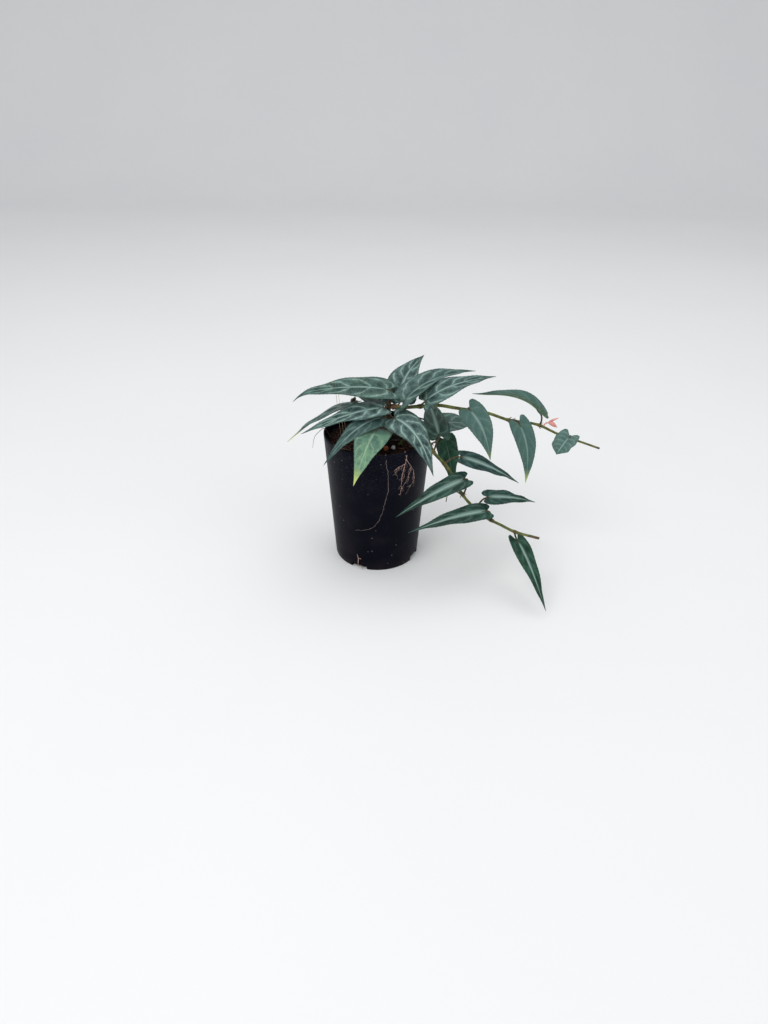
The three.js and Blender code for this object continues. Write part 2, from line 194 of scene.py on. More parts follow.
def joinedPiece(name, parts, skins):  # each part is its points, its faces and the number of its skin
    points, faces, slots = [], [], []
    for partPoints, partFaces, skinNumber in parts:
        start = len(points)
        points.extend(partPoints)
        faces.extend(tuple(start + v for v in face) for face in partFaces)
        slots.extend([skinNumber] * len(partFaces))
    return meshPiece(name, points, faces, skins, slots)


def addMark(piece, name, values):  # a number at each point, for the skins to read
    mark = piece.data.attributes.new(name, "FLOAT", "POINT")
    mark.data.foreach_set("value", values)


def finishPiece(piece, slot, *nodes):
    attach(piece, "root")
    if nodes:
        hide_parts(*nodes)


def throughPoints(points, t):  # Catmull-Rom through the rows of an array, t counted in rows
    points = np.asarray(points, float)
    t = np.atleast_1d(t)
    last = len(points) - 1
    i = np.clip(np.floor(t).astype(int), 0, last - 1)
    f = (t - i).reshape((-1,) + (1,) * (points.ndim - 1))
    aheadOfStart = 2 * points[0] - points[1]
    pastEnd = 2 * points[last] - points[last - 1]
    before = np.where((i > 0).reshape(f.shape), points[np.maximum(i - 1, 0)], aheadOfStart)
    after = np.where((i < last - 1).reshape(f.shape), points[np.minimum(i + 2, last)], pastEnd)
    a, b = points[i], points[i + 1]
    return 0.5 * (2 * a + (b - before) * f + (2 * before - 5 * a + 4 * b - after) * f ** 2
                  + (3 * a - before - 3 * b + after) * f ** 3)


def lengthsAlong(points):
    return np.concatenate([[0], np.cumsum(np.linalg.norm(np.diff(points, axis=0), axis=1))])


def evenRows(points, spacing):  # rows of a smooth curve at an even spacing
    dense = throughPoints(points, np.linspace(0, len(points) - 1, 40 * len(points)))
    walked = lengthsAlong(dense)
    count = max(4, int(round(walked[-1] / spacing)) + 1)
    wanted = np.linspace(0, walked[-1], count)
    return np.stack([np.interp(wanted, walked, dense[:, axis]) for axis in range(3)], axis=1)


def crossFrames(path):  # two directions across a path that turn as little as they can along it
    tangents = np.gradient(path, axis=0)
    tangents /= np.linalg.norm(tangents, axis=1, keepdims=True)
    side = np.cross(tangents[0], (0.3, 0.2, 0.93))
    sides = []
    for tangent in tangents:
        side = side - tangent * side.dot(tangent)
        side /= np.linalg.norm(side)
        sides.append(side)
    sides = np.array(sides)
    return tangents, sides, np.cross(tangents, sides)


def roundPairs(sides):  # each place round a ring, with the next one
    return [(k, (k + 1) % sides) for k in range(sides)]


def tubeMesh(path, radii, sides, uneven=None, skinNumber=0):
    # closed tube with softly rounded ends; uneven(along, angle) scales the radius
    tangents, across, up = crossFrames(path)
    radii = np.broadcast_to(radii, len(path)).astype(float)
    walked = lengthsAlong(path)
    points, faces = [], []
    angles = np.arange(sides) * 2 * math.pi / sides
    spokes = [[math.cos(angle) * x + math.sin(angle) * y for angle in angles]
              for x, y in zip(across, up)]
    for i, centre in enumerate(path):
        for angle, spoke in zip(angles, spokes[i]):
            reach = radii[i] * (uneven(walked[i], angle) if uneven else 1)
            points.append(centre + reach * spoke)
    for i in range(len(path) - 1):
        for k, n in roundPairs(sides):
            faces.append((i * sides + k, i * sides + n, (i + 1) * sides + n, (i + 1) * sides + k))
    for row, sign in ((0, -1), (len(path) - 1, 1)):
        rim = row * sides
        inner = len(points)
        tip = inner + sides
        for spoke in spokes[row]:
            points.append(path[row] + radii[row] * (0.7 * spoke + sign * 0.35 * tangents[row]))
        points.append(path[row] + sign * 0.5 * radii[row] * tangents[row])
        for k, n in roundPairs(sides):
            quad = (rim + k, rim + n, inner + n, inner + k)
            cap = (inner + k, inner + n, tip)
            faces.append(quad[::sign])
            faces.append(cap[::sign])
    return points, faces, skinNumber


# Rings of a CAD solid, from one end to the other

cadRings = {
    "weld": 0.02 * mm,
    "stem": 8,  # points in a ring of a stem
    "leaf": 8,  # points in a ring of a leaf
    "petiole": 4,  # rings
    "blade": 10,
    "petioleWidest": 1.2 * mm,  # a ring that reaches further belongs to the blade
}


def mergedNode(node):
    work = bmesh.new()
    work.from_mesh(frame["nodes"][node].data)
    bmesh.ops.remove_doubles(work, verts=work.verts, dist=cadRings["weld"])
    work.verts.index_update()
    places = np.array([v.co[:] for v in work.verts])
    linked = [[e.other_vert(v).index for e in v.link_edges] for v in work.verts]
    work.free()
    return places, linked


def levelsFrom(start, linked):  # the points one edge away from the start, then two, and so on
    seen = set(start)
    levels = [list(start)]
    while True:
        new = []
        for v in levels[-1]:
            for other in linked[v]:
                if other not in seen:
                    seen.add(other)
                    new.append(other)
        if not new:
            return levels
        levels.append(new)


def tubeSpine(node, sides):  # centres and mean radius of a CAD tube's rings
    places, linked = mergedNode(node)
    for place in places:
        nearest = np.argsort(np.linalg.norm(places - place, axis=1))[:sides]
        levels = levelsFrom(nearest.tolist(), linked)
        if len(levels) > 3 and all(len(level) == sides for level in levels):
            rings = [places[level] for level in levels]
            centres = [ring.mean(axis=0) for ring in rings]
            radii = [np.linalg.norm(ring - c, axis=1).mean() for ring, c in zip(rings, centres)]
            return np.array(centres), np.array(radii)
    raise ValueError("no ring found at the end of " + node)


def shapeOf(ring):  # a ring about its own centre, at size 1
    centred = ring - ring.mean(axis=0)
    return centred / np.linalg.norm(centred, axis=1).max()


def countedLike(ring, model):  # a ring whose points are counted as the model's are
    ways = [np.roll(way, -k, axis=0) for way in (ring, ring[::-1]) for k in range(len(ring))]
    gaps = [np.linalg.norm(shapeOf(model) - shapeOf(way)) for way in ways]
    return ways[int(np.argmin(gaps))]


def leafRings(node):
    # petiole centres from its foot, the blade as rows of five points across, and where its top faces
    places, linked = mergedNode(node)
    bladeStart = 1 + cadRings["petiole"]
    bladeEnd = bladeStart + cadRings["blade"]
    count = cadRings["leaf"]
    for v in range(len(places)):
        levels = levelsFrom([v], linked)
        if [len(level) for level in levels] != [1] + [count] * (bladeEnd - 1) + [1]:
            continue
        low = places[levels[bladeStart - 2]]
        if np.linalg.norm(low - low.mean(axis=0), axis=1).max() < cadRings["petioleWidest"]:
            break
    else:
        raise ValueError("no petiole found on " + node)
    foot, tip = places[levels[0][0]], places[levels[-1][0]]
    stalk = [foot] + [places[level].mean(axis=0) for level in levels[1:bladeStart]]
    rings = []
    for level in levels[bladeStart:bladeEnd]:
        ring = [level[0]]
        while len(ring) < count:
            ring.append(next(o for o in linked[ring[-1]] if o in level and o not in ring))
        rings.append(places[ring])
    # the widest ring is counted from its edge, and the others after it
    half = count // 2
    spans = [np.linalg.norm(ring[:half] - ring[half:], axis=1) for ring in rings]
    widest = int(np.argmax([span.max() for span in spans]))
    rings[widest] = np.roll(rings[widest], -int(np.argmax(spans[widest])), axis=0)
    for i in range(widest + 1, len(rings)):
        rings[i] = countedLike(rings[i], rings[i - 1])
    for i in range(widest - 1, -1, -1):
        rings[i] = countedLike(rings[i], rings[i + 1])
    rings = np.array(rings)
    facing = (rings[:, 1:half].mean(axis=1) - rings[:, half + 1:].mean(axis=1)).sum(axis=0)
    if facing.dot((0, -0.5, 0.85)) < 0:
        facing = -facing
        rings = rings[:, [-k % count for k in range(count)]]
    rows = np.stack([(rings[:, k] + rings[:, -k % count]) / 2 for k in range(half + 1)], axis=1)
    heel = 0.7 * stalk[-1] + 0.3 * rows[0, 2]
    blade = np.concatenate([[[heel] * (half + 1)], rows, [[tip] * (half + 1)]])
    return np.array(stalk + [heel]), blade, facing


# Leaf skins. The UV map runs along the midrib and from edge to edge.

veinLook = {
    "pairs": 5.3,  # side veins along the whole blade
    "reach": 0.27,  # how far a vein runs forward on its way out, as a share of the length
    "reachPower": 1.4,
    "hook": 0.13,  # extra run forward near the margin, where it loops into the next one
    "hookPower": 6,
    "slender": 7.5,  # length over half width
    "core": 0.0055,
    "glow": 0.036,
}
leafTones = {
    "dark": [colour(5, 34, 34), colour(13, 51, 50)],
    "green": [colour(3, 44, 24), colour(9, 66, 40)],
    "pale": [colour(104, 142, 110), colour(54, 92, 80)],
    # a grey tint that paints the leaf's sheen, the reflected light of the sky, into its colour
    "paintedSheen": colour(88, 122, 112),
    "silver": [colour(152, 180, 170), colour(158, 184, 152)],  # on dark leaves, on pale ones
    "margin": colour(84, 108, 94),
    "aged": colour(186, 200, 112),
    "driedTip": colour(214, 200, 176),
    "underside": colour(104, 132, 104),
    "underVeins": colour(160, 172, 130),
}

# what sets a leaf's colouring apart: its veins, the width of its silver band, how green, pale or aged it
# is, and how much painted sheen lies over it
plainLook = {
    "silver": 0.85,
    "sideVeins": 0.9,
    "band": 0.16,
    "green": 0.0,
    "pale": 0.0,
    "yellow": 0.0,
    "paintedSheen": 0.1,
}
leafLooks = {
    "leaf_left_long": {"silver": 0.75, "green": 0.45, "band": 0.12, "paintedSheen": 0.15},
    "leaf_left_mid": {"silver": 0.95, "band": 0.2},
    "leaf_left_low": {"silver": 0.7, "yellow": 1.0, "paintedSheen": 0.2},
    "leaf_left_back": {"silver": 0.7, "green": 0.3},
    "leaf_front_left": {"silver": 0.7, "sideVeins": 0.5, "paintedSheen": 0.3},
    "leaf_front_pale": {"silver": 0.6, "pale": 1.0, "yellow": 1.0, "sideVeins": 0.7, "paintedSheen": 0.0},
    "leaf_upright": {"silver": 0.8, "paintedSheen": 0.2},
    "leaf_right_arched": {"silver": 0.8, "paintedSheen": 0.25, "sideVeins": 0.75},
    "leaf_right_upper": {"silver": 0.8, "paintedSheen": 0.2},
    "leaf_front_right": {"silver": 0.95, "sideVeins": 0.85, "band": 0.2},
    "leaf_back_dark": {"silver": 0.7, "band": 0.26, "sideVeins": 0.35, "green": 0.5, "paintedSheen": 0.0},
    "leaf_back_grey": {"silver": 0.55, "paintedSheen": 0.55},
    "vine_leaf_1": {"silver": 0.7, "sideVeins": 0.3, "band": 0.2, "paintedSheen": 0.85, "yellow": 0.3},
    "vine_leaf_2": {"silver": 0.6, "sideVeins": 0.2, "band": 0.16, "paintedSheen": 0.85, "yellow": 1.0},
    "vine_leaf_3": {"silver": 0.5, "sideVeins": 0.3, "green": 0.3, "paintedSheen": 0.7},
    "vine_leaf_4": {"silver": 0.8, "sideVeins": 0.5, "paintedSheen": 0.75},
    "trail_leaf_1": {"silver": 0.95, "sideVeins": 0.15, "band": 0.4, "green": 0.2, "paintedSheen": 0.0},
    "trail_leaf_2": {"silver": 0.16, "sideVeins": 0.5, "band": 0.08, "green": 1.0, "paintedSheen": 0.0},
    "trail_leaf_3": {"silver": 0.95, "sideVeins": 0.2, "band": 0.4, "green": 0.5, "paintedSheen": 0.0},
    "trail_leaf_4": {"silver": 0.9, "sideVeins": 0.15, "band": 0.38, "green": 0.4, "paintedSheen": 0.0},
    "trail_leaf_5": {"silver": 0.95, "sideVeins": 0.2, "band": 0.36, "green": 0.5, "paintedSheen": 0.0},
    "trail_leaf_6": {"silver": 0.9, "sideVeins": 0.12, "band": 0.24, "green": 0.8, "paintedSheen": 0.0},
}


def veinPlaces(along, out):
    # a place's count along the side veins, and how far apart they lie there as a share of the length;
    # the same sums work on arrays and on wires
    look = veinLook
    forward, hook = look["reachPower"], look["hookPower"]
    bend = look["reach"] * out ** forward + look["hook"] * out ** hook
    rise = forward * look["reach"] * out ** (forward - 1) + hook * look["hook"] * out ** (hook - 1)
    slope = rise * look["slender"]
    return (along - bend) * look["pairs"], 1 / ((1 + slope * slope) ** 0.5) / look["pairs"]


def leafSkin(name, under=False):
    fixed = {"Specular_IOR_Level": 0.2, "Sheen_Weight": 0.02, "Sheen_Roughness": 0.4}
    skin, sheet, shader = newSkin(name, **fixed)
    tones = leafTones
    uv = sheet.node("ShaderNodeUVMap", {"uv_map": "Blade"})
    along = sheet.node("ShaderNodeSeparateXYZ", None, {0: uv})
    across = Wire(sheet, along.socket.node.outputs[1])
    out = abs(across * 2 - 1)
    place = sheet.place()
    wobble = sheet.noiseAt(place, 190, 2) - 0.5
    fine = sheet.noiseAt(place, 900, 4, 0.6)
    cells = sheet.cellEdges(place, 1100.0)
    patches = sheet.noiseAt(place, 130, 3, 0.6)
    net = sheet.cellEdges(place, 230.0).fade(0.09, 0.0)
    drift = sheet.noiseAt(place, 55, 1) - 0.5
    phase, perPhase = veinPlaces(along + wobble * 0.09 + drift * 0.16, out.most(0.001))
    gap = abs((phase + 0.5).fraction() - 0.5) * perPhase
    weaken = (1 - out.fade(0.8, 0.97)) * (1 - along.fade(0.7, 0.95)) * along.fade(-0.02, 0.06, 0.4)
    weaken = weaken * patches.fade(0.25, 0.6, 0.45, 1.0)
    core = gap.fade(veinLook["core"] * 1.5, veinLook["core"] * 0.3) * weaken
    glow = gap.fade(veinLook["glow"], 0.0) * weaken
    mark = {key: sheet.attribute(key) for key in plainLook}
    ribWidth = mark["band"] * (1.05 - 0.45 * along) + wobble * 0.08
    ribGlow = (1 - out / ribWidth.most(0.02)).most(0.0) ** 0.8
    ribCore = out.fade(0.075, 0.02)

    mottle = patches.fade(0.35, 0.7)
    dark = sheet.mix(mottle, *tones["dark"])
    ground = sheet.mix(mark["green"], dark, sheet.mix(mottle, *tones["green"]))
    blotches = (patches.fade(0.42, 0.58) * 0.7 + (1 - along.fade(0.25, 0.65)) * 0.7).least(1.0)
    ground = sheet.mix(mark["pale"], ground, sheet.mix(blotches, *tones["pale"]))
    # painted sheen: the grey tint, patchy with fine noise, laid over the blade's colour in place of
    # reflected light
    ground = sheet.mix(mark["paintedSheen"] * (0.4 + 0.6 * fine), ground, tones["paintedSheen"])
    feather = glow * 0.3 + 0.16 * mottle + net * 0.13
    lightness = ((core * 0.55 + feather) * (1 - ribGlow) * mark["sideVeins"]).least(1.0)
    lightness = lightness.most(ribGlow * 0.72).most(ribCore * 0.95) * mark["silver"]
    lightness = lightness * (0.7 + 0.6 * fine)
    tone = sheet.mix(lightness.least(1.0), ground, sheet.mix(mark["pale"], *tones["silver"]))
    tone = sheet.mix(out.fade(0.93, 0.995) * 0.35, tone, tones["margin"])
    tone = sheet.mix((along + wobble * 0.12).fade(0.72, 1.0) * mark["yellow"], tone, tones["aged"])
    tone = sheet.mix((along + wobble * 0.05).fade(0.965, 1.0) * mark["yellow"], tone, tones["driedTip"])
    height = fine * 0.25 + cells.fade(0.0, 0.12) * 0.35
    if under:
        washed = sheet.mix(0.55, tone, tones["underside"])
        tone = sheet.mix(core.most(ribCore) * 0.5, washed, tones["underVeins"])
        rough = 0.62 + fine * 0.1
        height = height + core * 0.8
    else:
        rough = 0.36 + fine * 0.12 + lightness * 0.08
        height = height - core * 0.7 - ribCore * 0.6
    wireUp(sheet, shader, tone, rough, height, 0.12 * mm)
    return skin


def stalkSkin(name, dark, light, scale=300.0):
    skin, sheet, shader = newSkin(name, Specular_IOR_Level=0.25, Sheen_Weight=0.05)
    place = sheet.place()
    streaks = sheet.noiseAt(place, scale, 4, 0.65)
    grain = sheet.noiseAt(place, scale * 9, 3, 0.6)
    tone = sheet.mix(streaks.fade(0.3, 0.7), dark, light)
    tone = sheet.mix(grain.fade(0.62, 0.8) * 0.35, tone, colour(160, 140, 110))
    wireUp(sheet, shader, tone, 0.45 + grain * 0.2, streaks * 0.4 + grain * 0.5, 0.1 * mm)
    return skin


leafTop = leafSkin("leafTop")
leafUnder = leafSkin("leafUnder", under=True)
petioleSkin = stalkSkin("petioleSkin", colour(46, 36, 24), colour(82, 72, 40))

bladeLook = {
    "rowSpacing": 0.85 * mm,
    "columns": 17,  # from midrib to edge
    "thick": 0.42 * mm,
    "rib": 0.5 * mm,  # how proud the midrib stands underneath
    "quilt": 0.34 * mm,  # how far the blade puffs up between its veins
    "wave": 0.7 * mm,
    "toothPitch": 3.6 * mm,
    "tooth": 0.45 * mm,
    "biteShare": 0.35,  # how much of a tooth cuts into the blade
    "halfway": 0.55,  # where the point between midrib and edge lies
    "stalk": 0.8 * mm,
    "stalkSides": 10,
    "sharpAngle": 50,
    "firstSeed": 40,
}


def bladeRows(blade):  # rows at an even spacing, and where each lies as a share of the midrib
    # the blade starts a little up from its heel and stops just short of its tip
    dense = np.linspace(0.4, len(blade) - 1.03, 500)
    lines = throughPoints(blade, dense)
    walked = sum(lengthsAlong(lines[:, k]) for k in (0, 2, 4)) / 3
    t = np.interp(np.linspace(0, walked[-1], int(walked[-1] / bladeLook["rowSpacing"])), walked, dense)
    ribPlaces = np.linspace(0, len(blade) - 1, 600)
    midrib = lengthsAlong(throughPoints(blade[:, 2], ribPlaces))
    return throughPoints(blade, t), np.interp(t, ribPlaces, midrib / midrib[-1])


def spreadAcross(rows, out):  # a parabola through midrib, halfway point and edge on each side
    mid = bladeLook["halfway"]
    v = np.abs(out)
    onRib = (v - mid) * (v - 1) / mid
    onHalfway = v * (v - 1) / (mid * (mid - 1))
    onEdge = v * (v - mid) / (1 - mid)
    halfway = np.where(out < 0, 1, 3)
    edge = np.where(out < 0, 0, 4)
    return (onRib[None, :, None] * rows[:, [2]] + onHalfway[None, :, None] * rows[:, halfway]
            + onEdge[None, :, None] * rows[:, edge])


def unit(directions):
    return directions / (np.linalg.norm(directions, axis=-1, keepdims=True) + 1e-12)


def cutTeeth(grid, body):  # a fine saw edge down both margins
    for edge, inward in ((0, 1), (-1, -1)):
        walk = lengthsAlong(grid[:, edge])
        way = unit(grid[:, edge] - grid[:, edge + 2 * inward])
        saw = (walk / bladeLook["toothPitch"]) % 1
        notch = bladeLook["tooth"] * (saw ** 1.5 - bladeLook["biteShare"]) * body
        grid[:, edge] += way * notch[:, None]
        grid[:, edge + inward] += way * 0.4 * notch[:, None]


def bladeMesh(blade, facing, seed):
    look = bladeLook
    rows, share = bladeRows(blade)
    half = np.sin(np.linspace(0, math.pi / 2, look["columns"])) ** 0.9  # closer together near the edge
    out = np.concatenate([-half[:0:-1], half])
    grid = spreadAcross(rows, out)
    normal = unit(np.cross(np.gradient(grid, axis=0), np.gradient(grid, axis=1)))
    if normal.mean(axis=(0, 1)).dot(facing) < 0:
        normal = -normal
    wide = np.linalg.norm(rows[:, 0] - rows[:, 4], axis=1)
    body = np.clip(wide / (0.3 * wide.max()), 0, 1)  # fades what follows where the blade is narrow
    shares = np.broadcast_to(share[:, None], grid.shape[:2])
    outs = np.broadcast_to(np.abs(out), grid.shape[:2])
    phase, perPhase = veinPlaces(shares, np.maximum(outs, 0.001))
    gap = np.abs((phase + 0.5) % 1 - 0.5) * perPhase
    puff = np.clip(gap / 0.03, 0, 1) ** 0.7 * np.clip(outs / 0.2, 0, 1) * (1 - 0.6 * outs ** 3)
    rng = random.Random(seed)
    rates = np.where(out < 0, rng.uniform(2.2, 3.4), rng.uniform(2.2, 3.4))
    offsets = np.where(out < 0, rng.uniform(0, 6.3), rng.uniform(0, 6.3))
    waves = np.sin(2 * math.pi * rates * shares + offsets) * outs ** 2
    lift = (look["quilt"] * puff + look["wave"] * waves * body[:, None]) * body[:, None]
    grid = grid + normal * lift[..., None]
    cutTeeth(grid, body)

    ribReach = np.exp(-(outs * wide[:, None] / 2 / (0.8 * mm)) ** 2) * (1 - 0.75 * shares)
    thick = look["thick"] * (1 - 0.45 * outs) / 2
    upper = grid + normal * (thick - 0.16 * mm * ribReach)[..., None]
    lower = grid - normal * (thick + look["rib"] * ribReach)[..., None]
    points = np.concatenate([upper.reshape(-1, 3), lower.reshape(-1, 3)])
    uvOf = np.stack([shares, 0.5 + 0.5 * np.broadcast_to(out, shares.shape)], axis=2)
    rowCount, columnCount = shares.shape
    at = lambda row, column, under: under * rowCount * columnCount + row * columnCount + column
    faces, slots, uvs = [], [], []

    def addFace(corners, slot):  # corners are (row, column, 0 on top or 1 underneath)
        faces.append(tuple(at(*corner) for corner in corners))
        slots.append(slot)
        uvs.append([uvOf[row, column] for row, column, _ in corners])

    for r in range(rowCount - 1):
        for c in range(columnCount - 1):
            quad = [(r, c), (r + 1, c), (r + 1, c + 1), (r, c + 1)]
            addFace([(*corner, 0) for corner in quad], 0)
            addFace([(*corner, 1) for corner in quad[::-1]], 1)
    margin = [(r, 0) for r in range(rowCount)] + [(rowCount - 1, c) for c in range(1, columnCount)]
    margin += [(r, columnCount - 1) for r in range(rowCount - 2, -1, -1)]
    margin += [(0, c) for c in range(columnCount - 2, 0, -1)]
    for a, b in zip(margin, margin[1:] + margin[:1]):
        addFace([(*b, 0), (*a, 0), (*a, 1), (*b, 1)], 0)
    origin, along, _, aside = [points[v] for v in faces[0]]
    if np.cross(along - origin, aside - origin).dot(normal[0, 0]) < 0:
        faces = [face[::-1] for face in faces]
        uvs = [corners[::-1] for corners in uvs]
    columnOfRib = columnCount // 2
    return points, faces, slots, uvs, grid[:, columnOfRib] - 0.3 * mm * normal[:, columnOfRib]


def buildLeaf(node, seed):
    stalk, blade, facing = leafRings(node)
    look = {**plainLook, **leafLooks[node]}
    points, faces, slots, uvs, underRib = bladeMesh(blade, facing, seed)
    away = stalk[0] - stalk[1]
    inside = stalk[0] + away * 0.9 * mm / np.linalg.norm(away)  # the petiole starts inside its stem
    path = evenRows([inside, *stalk[:-1], underRib[3], underRib[8]], 1.0 * mm)
    share = np.linspace(0, 1, len(path))
    swollenFoot = 1 + 0.45 * np.exp(-(share * len(path) / 2.0) ** 2)
    radii = bladeLook["stalk"] * swollenFoot * np.interp(share, (0.85, 1), (1, 0.4))
    stalkPoints, stalkFaces, _ = tubeMesh(path, radii, bladeLook["stalkSides"])
    start = len(points)
    allPoints = np.concatenate([points, stalkPoints])
    allFaces = faces + [tuple(start + i for i in face) for face in stalkFaces]
    allSlots = slots + [2] * len(stalkFaces)
    piece = meshPiece(node + "_blade", allPoints, allFaces, [leafTop, leafUnder, petioleSkin], allSlots)
    piece.data.set_sharp_from_angle(angle=math.radians(bladeLook["sharpAngle"]))
    layer = piece.data.uv_layers.new(name="Blade")
    flat = np.zeros((len(piece.data.loops), 2))
    flat[:4 * len(uvs)] = np.array(uvs).reshape(-1, 2)
    layer.data.foreach_set("uv", flat.ravel())
    for name, value in look.items():
        addMark(piece, name, [value] * len(allPoints))
    slot = {"leaf_front_pale": "leaf_pale", "trail_leaf_2": "leaf_green"}.get(node, "leaf")
    finishPiece(piece, slot, node)
    return stalk[0]


leafFeet = {}
for number, name in enumerate(node for node in frame["nodes"] if "leaf" in node):
    leafFeet[name] = buildLeaf(name, bladeLook["firstSeed"] + number)
say("%d leaves" % len(leafFeet))


# Stems

stemLook = {
    "upper_vine": {"cadSides": 8, "node": 1.45, "spacing": 1.1 * mm, "sides": 18, "dryEnds": (0.4, 0.6)},
    "trailing_vine": {"cadSides": 8, "node": 1.4, "spacing": 1.1 * mm, "sides": 18, "dryEnds": (0.2, 0.9)},
    "tendril": {"cadSides": 6, "node": 1.0, "spacing": 0.7 * mm, "sides": 10, "dryEnds": (0.3, 0.5)},
    "bareNodes": [(121, 2, 142), (150, 2, 137)],  # nodes of the upper vine without a leaf, in mm
    "swellReach": 2.2 * mm,
    "scaleThick": 0.5 * mm,
    "scaleBend": [(0.7, 0), (1.5, 0.7 * mm), (1.7, 2.1 * mm)],  # outward in stem radii, and along the stem
}


def vineSkin(name):
    skin, sheet, shader = newSkin(name, Specular_IOR_Level=0.3, Sheen_Weight=0.05)
    place = sheet.place()
    streaks = sheet.noiseAt(place, 160, 4, 0.6)
    grain = sheet.noiseAt(place, 1800, 3, 0.6)
    dryness = sheet.attribute("dry")
    tone = sheet.mix(streaks.fade(0.32, 0.68), colour(54, 62, 26), colour(112, 116, 54))
    tone = sheet.mix(grain.fade(0.55, 0.75) * 0.5, tone, colour(92, 70, 40))
    brown = sheet.mix(streaks.fade(0.35, 0.7), colour(66, 48, 32), colour(116, 86, 56))
    tone = sheet.mix((dryness + (streaks - 0.5) * 0.6).fade(0.25, 0.85), tone, brown)
    wireUp(sheet, shader, tone, 0.45 + grain * 0.2, streaks * 0.5 + grain * 0.4, 0.14 * mm)
    return skin


vineBark = vineSkin("vineBark")


def stemPath(node, cadSides, spacing, farness):
    # even rows along a CAD stem, from the end where farness is less, and the length and radius at each
    centres, radii = tubeSpine(node, cadSides)
    if farness(centres[0]) > farness(centres[-1]):
        centres, radii = centres[::-1], radii[::-1]
    path = evenRows(centres, spacing)
    walked = lengthsAlong(path)
    return path, walked, np.interp(walked / walked[-1], np.linspace(0, 1, len(radii)), radii)


def vineRibs(along, angle):
    grain = noise.noise(Vector((along * 400, math.cos(angle) * 2, math.sin(angle) * 2)))
    return 1 + 0.05 * math.cos(5 * angle + along / (9 * mm)) + 0.04 * grain


def buildVine(node, joints):
    look = stemLook[node]
    fromAxis = lambda place: np.linalg.norm(place[:2])
    path, walked, radius = stemPath(node, look["cadSides"], look["spacing"], fromAxis)
    atJoint = [int(np.argmin(np.linalg.norm(path - joint, axis=1))) for joint in joints]
    swell = np.zeros(len(path))
    for i in atJoint:
        swell = np.maximum(swell, np.exp(-((walked - walked[i]) / stemLook["swellReach"]) ** 2))
    radius = radius * (1.06 + (look["node"] - 1) * swell)
    parts = [tubeMesh(path, radius, look["sides"], vineRibs)]
    stemCount = len(parts[0][0])
    tangents, across, up = crossFrames(path)
    # a pair of dry scales stands at each node
    for number, i in enumerate(np.clip(atJoint, 1, len(path) - 2)):
        for turn in (0.9 + 2.4 * number, 3.7 + 2.4 * number):
            aside = radius[i] * (math.cos(turn) * across[i] + math.sin(turn) * up[i])
            reach = [out * aside + ahead * tangents[i] for out, ahead in stemLook["scaleBend"]]
            scale = evenRows(path[i] + np.array(reach), 0.4 * mm)
            parts.append(tubeMesh(scale, stemLook["scaleThick"] * np.linspace(1, 0.3, len(scale)), 6))
    piece = joinedPiece(node + "_stem", parts, [vineBark])
    dryStart, dryEnd = look["dryEnds"]
    ends = np.exp(-walked / (9 * mm)) * dryStart + np.exp(-(walked[-1] - walked) / (12 * mm)) * dryEnd
    capCount = look["sides"] + 1
    rowOf = np.repeat(np.arange(len(path)), look["sides"]).tolist() + [0] * capCount + [-1] * capCount
    dry = np.ones(len(piece.data.vertices))
    dry[:stemCount] = np.clip(ends + 0.6 * swell, 0, 1)[rowOf]
    addMark(piece, "dry", dry)
    finishPiece(piece, "vine", node)
    return path


def feetOn(stem, feet):  # the leaf feet that lie on a stem
    centres = tubeSpine(stem, cadRings["stem"])[0]
    return [foot for foot in feet if np.linalg.norm(centres - foot, axis=1).min() < 6 * mm]


trailFeet = [foot for name, foot in leafFeet.items() if name.startswith("trail_leaf")]
otherFeet = [foot for name, foot in leafFeet.items() if not name.startswith("trail_leaf")]
bareNodes = [np.array(place) * mm for place in stemLook["bareNodes"]]
upperPath = buildVine("upper_vine", feetOn("upper_vine", otherFeet) + bareNodes)
buildVine("trailing_vine", feetOn("trailing_vine", trailFeet + otherFeet))
buildVine("tendril", [])
say("vines")

barkSkin = stalkSkin("barkSkin", colour(40, 30, 22), colour(94, 76, 52), 240.0)


# flakes of dead bark that cling to the stub's broken end: place, rise and size in mm
barkLook = {
    "crown_stem": [],
    "dry_stub": [((-1.5, 0, 0.4), 2.2, 2.3), ((2, -0.6, -0.8), 1.6, 1.7), ((0.2, 0.5, 2.2), 1.5, 1.5)],
}


def rugged(along, angle):
    spot = Vector((along * 500, math.cos(angle) * 1.6, math.sin(angle) * 1.6))
    return 0.95 + 0.2 * noise.noise(spot) + 0.09 * noise.noise(spot * 3.1)


def buildBark(node, flakes):
    path, walked, radius = stemPath(node, cadRings["stem"], 0.7 * mm, lambda place: place[2])
    scars = 1 + 0.12 * np.exp(-((walked / mm % 6.5 - 3) / 0.8) ** 2)
    parts = [tubeMesh(path, radius * scars, 28, rugged)]
    for aside, rise, size in flakes:
        middle = path[-1] + np.array(aside) * mm
        line = [middle - (0, 0, size * mm), middle, middle + (0.4 * size * mm, 0, rise * mm)]
        line = evenRows(line, 0.4 * mm)
        lump = size * mm * np.sin(np.linspace(0.25, 2.8, len(line))) ** 0.6
        parts.append(tubeMesh(line, lump, 14, rugged))
    finishPiece(joinedPiece(node + "_bark", parts, [barkSkin]), "bark", node)


for node, flakes in barkLook.items():
    buildBark(node, flakes)
say("crown and stub")


# Pot

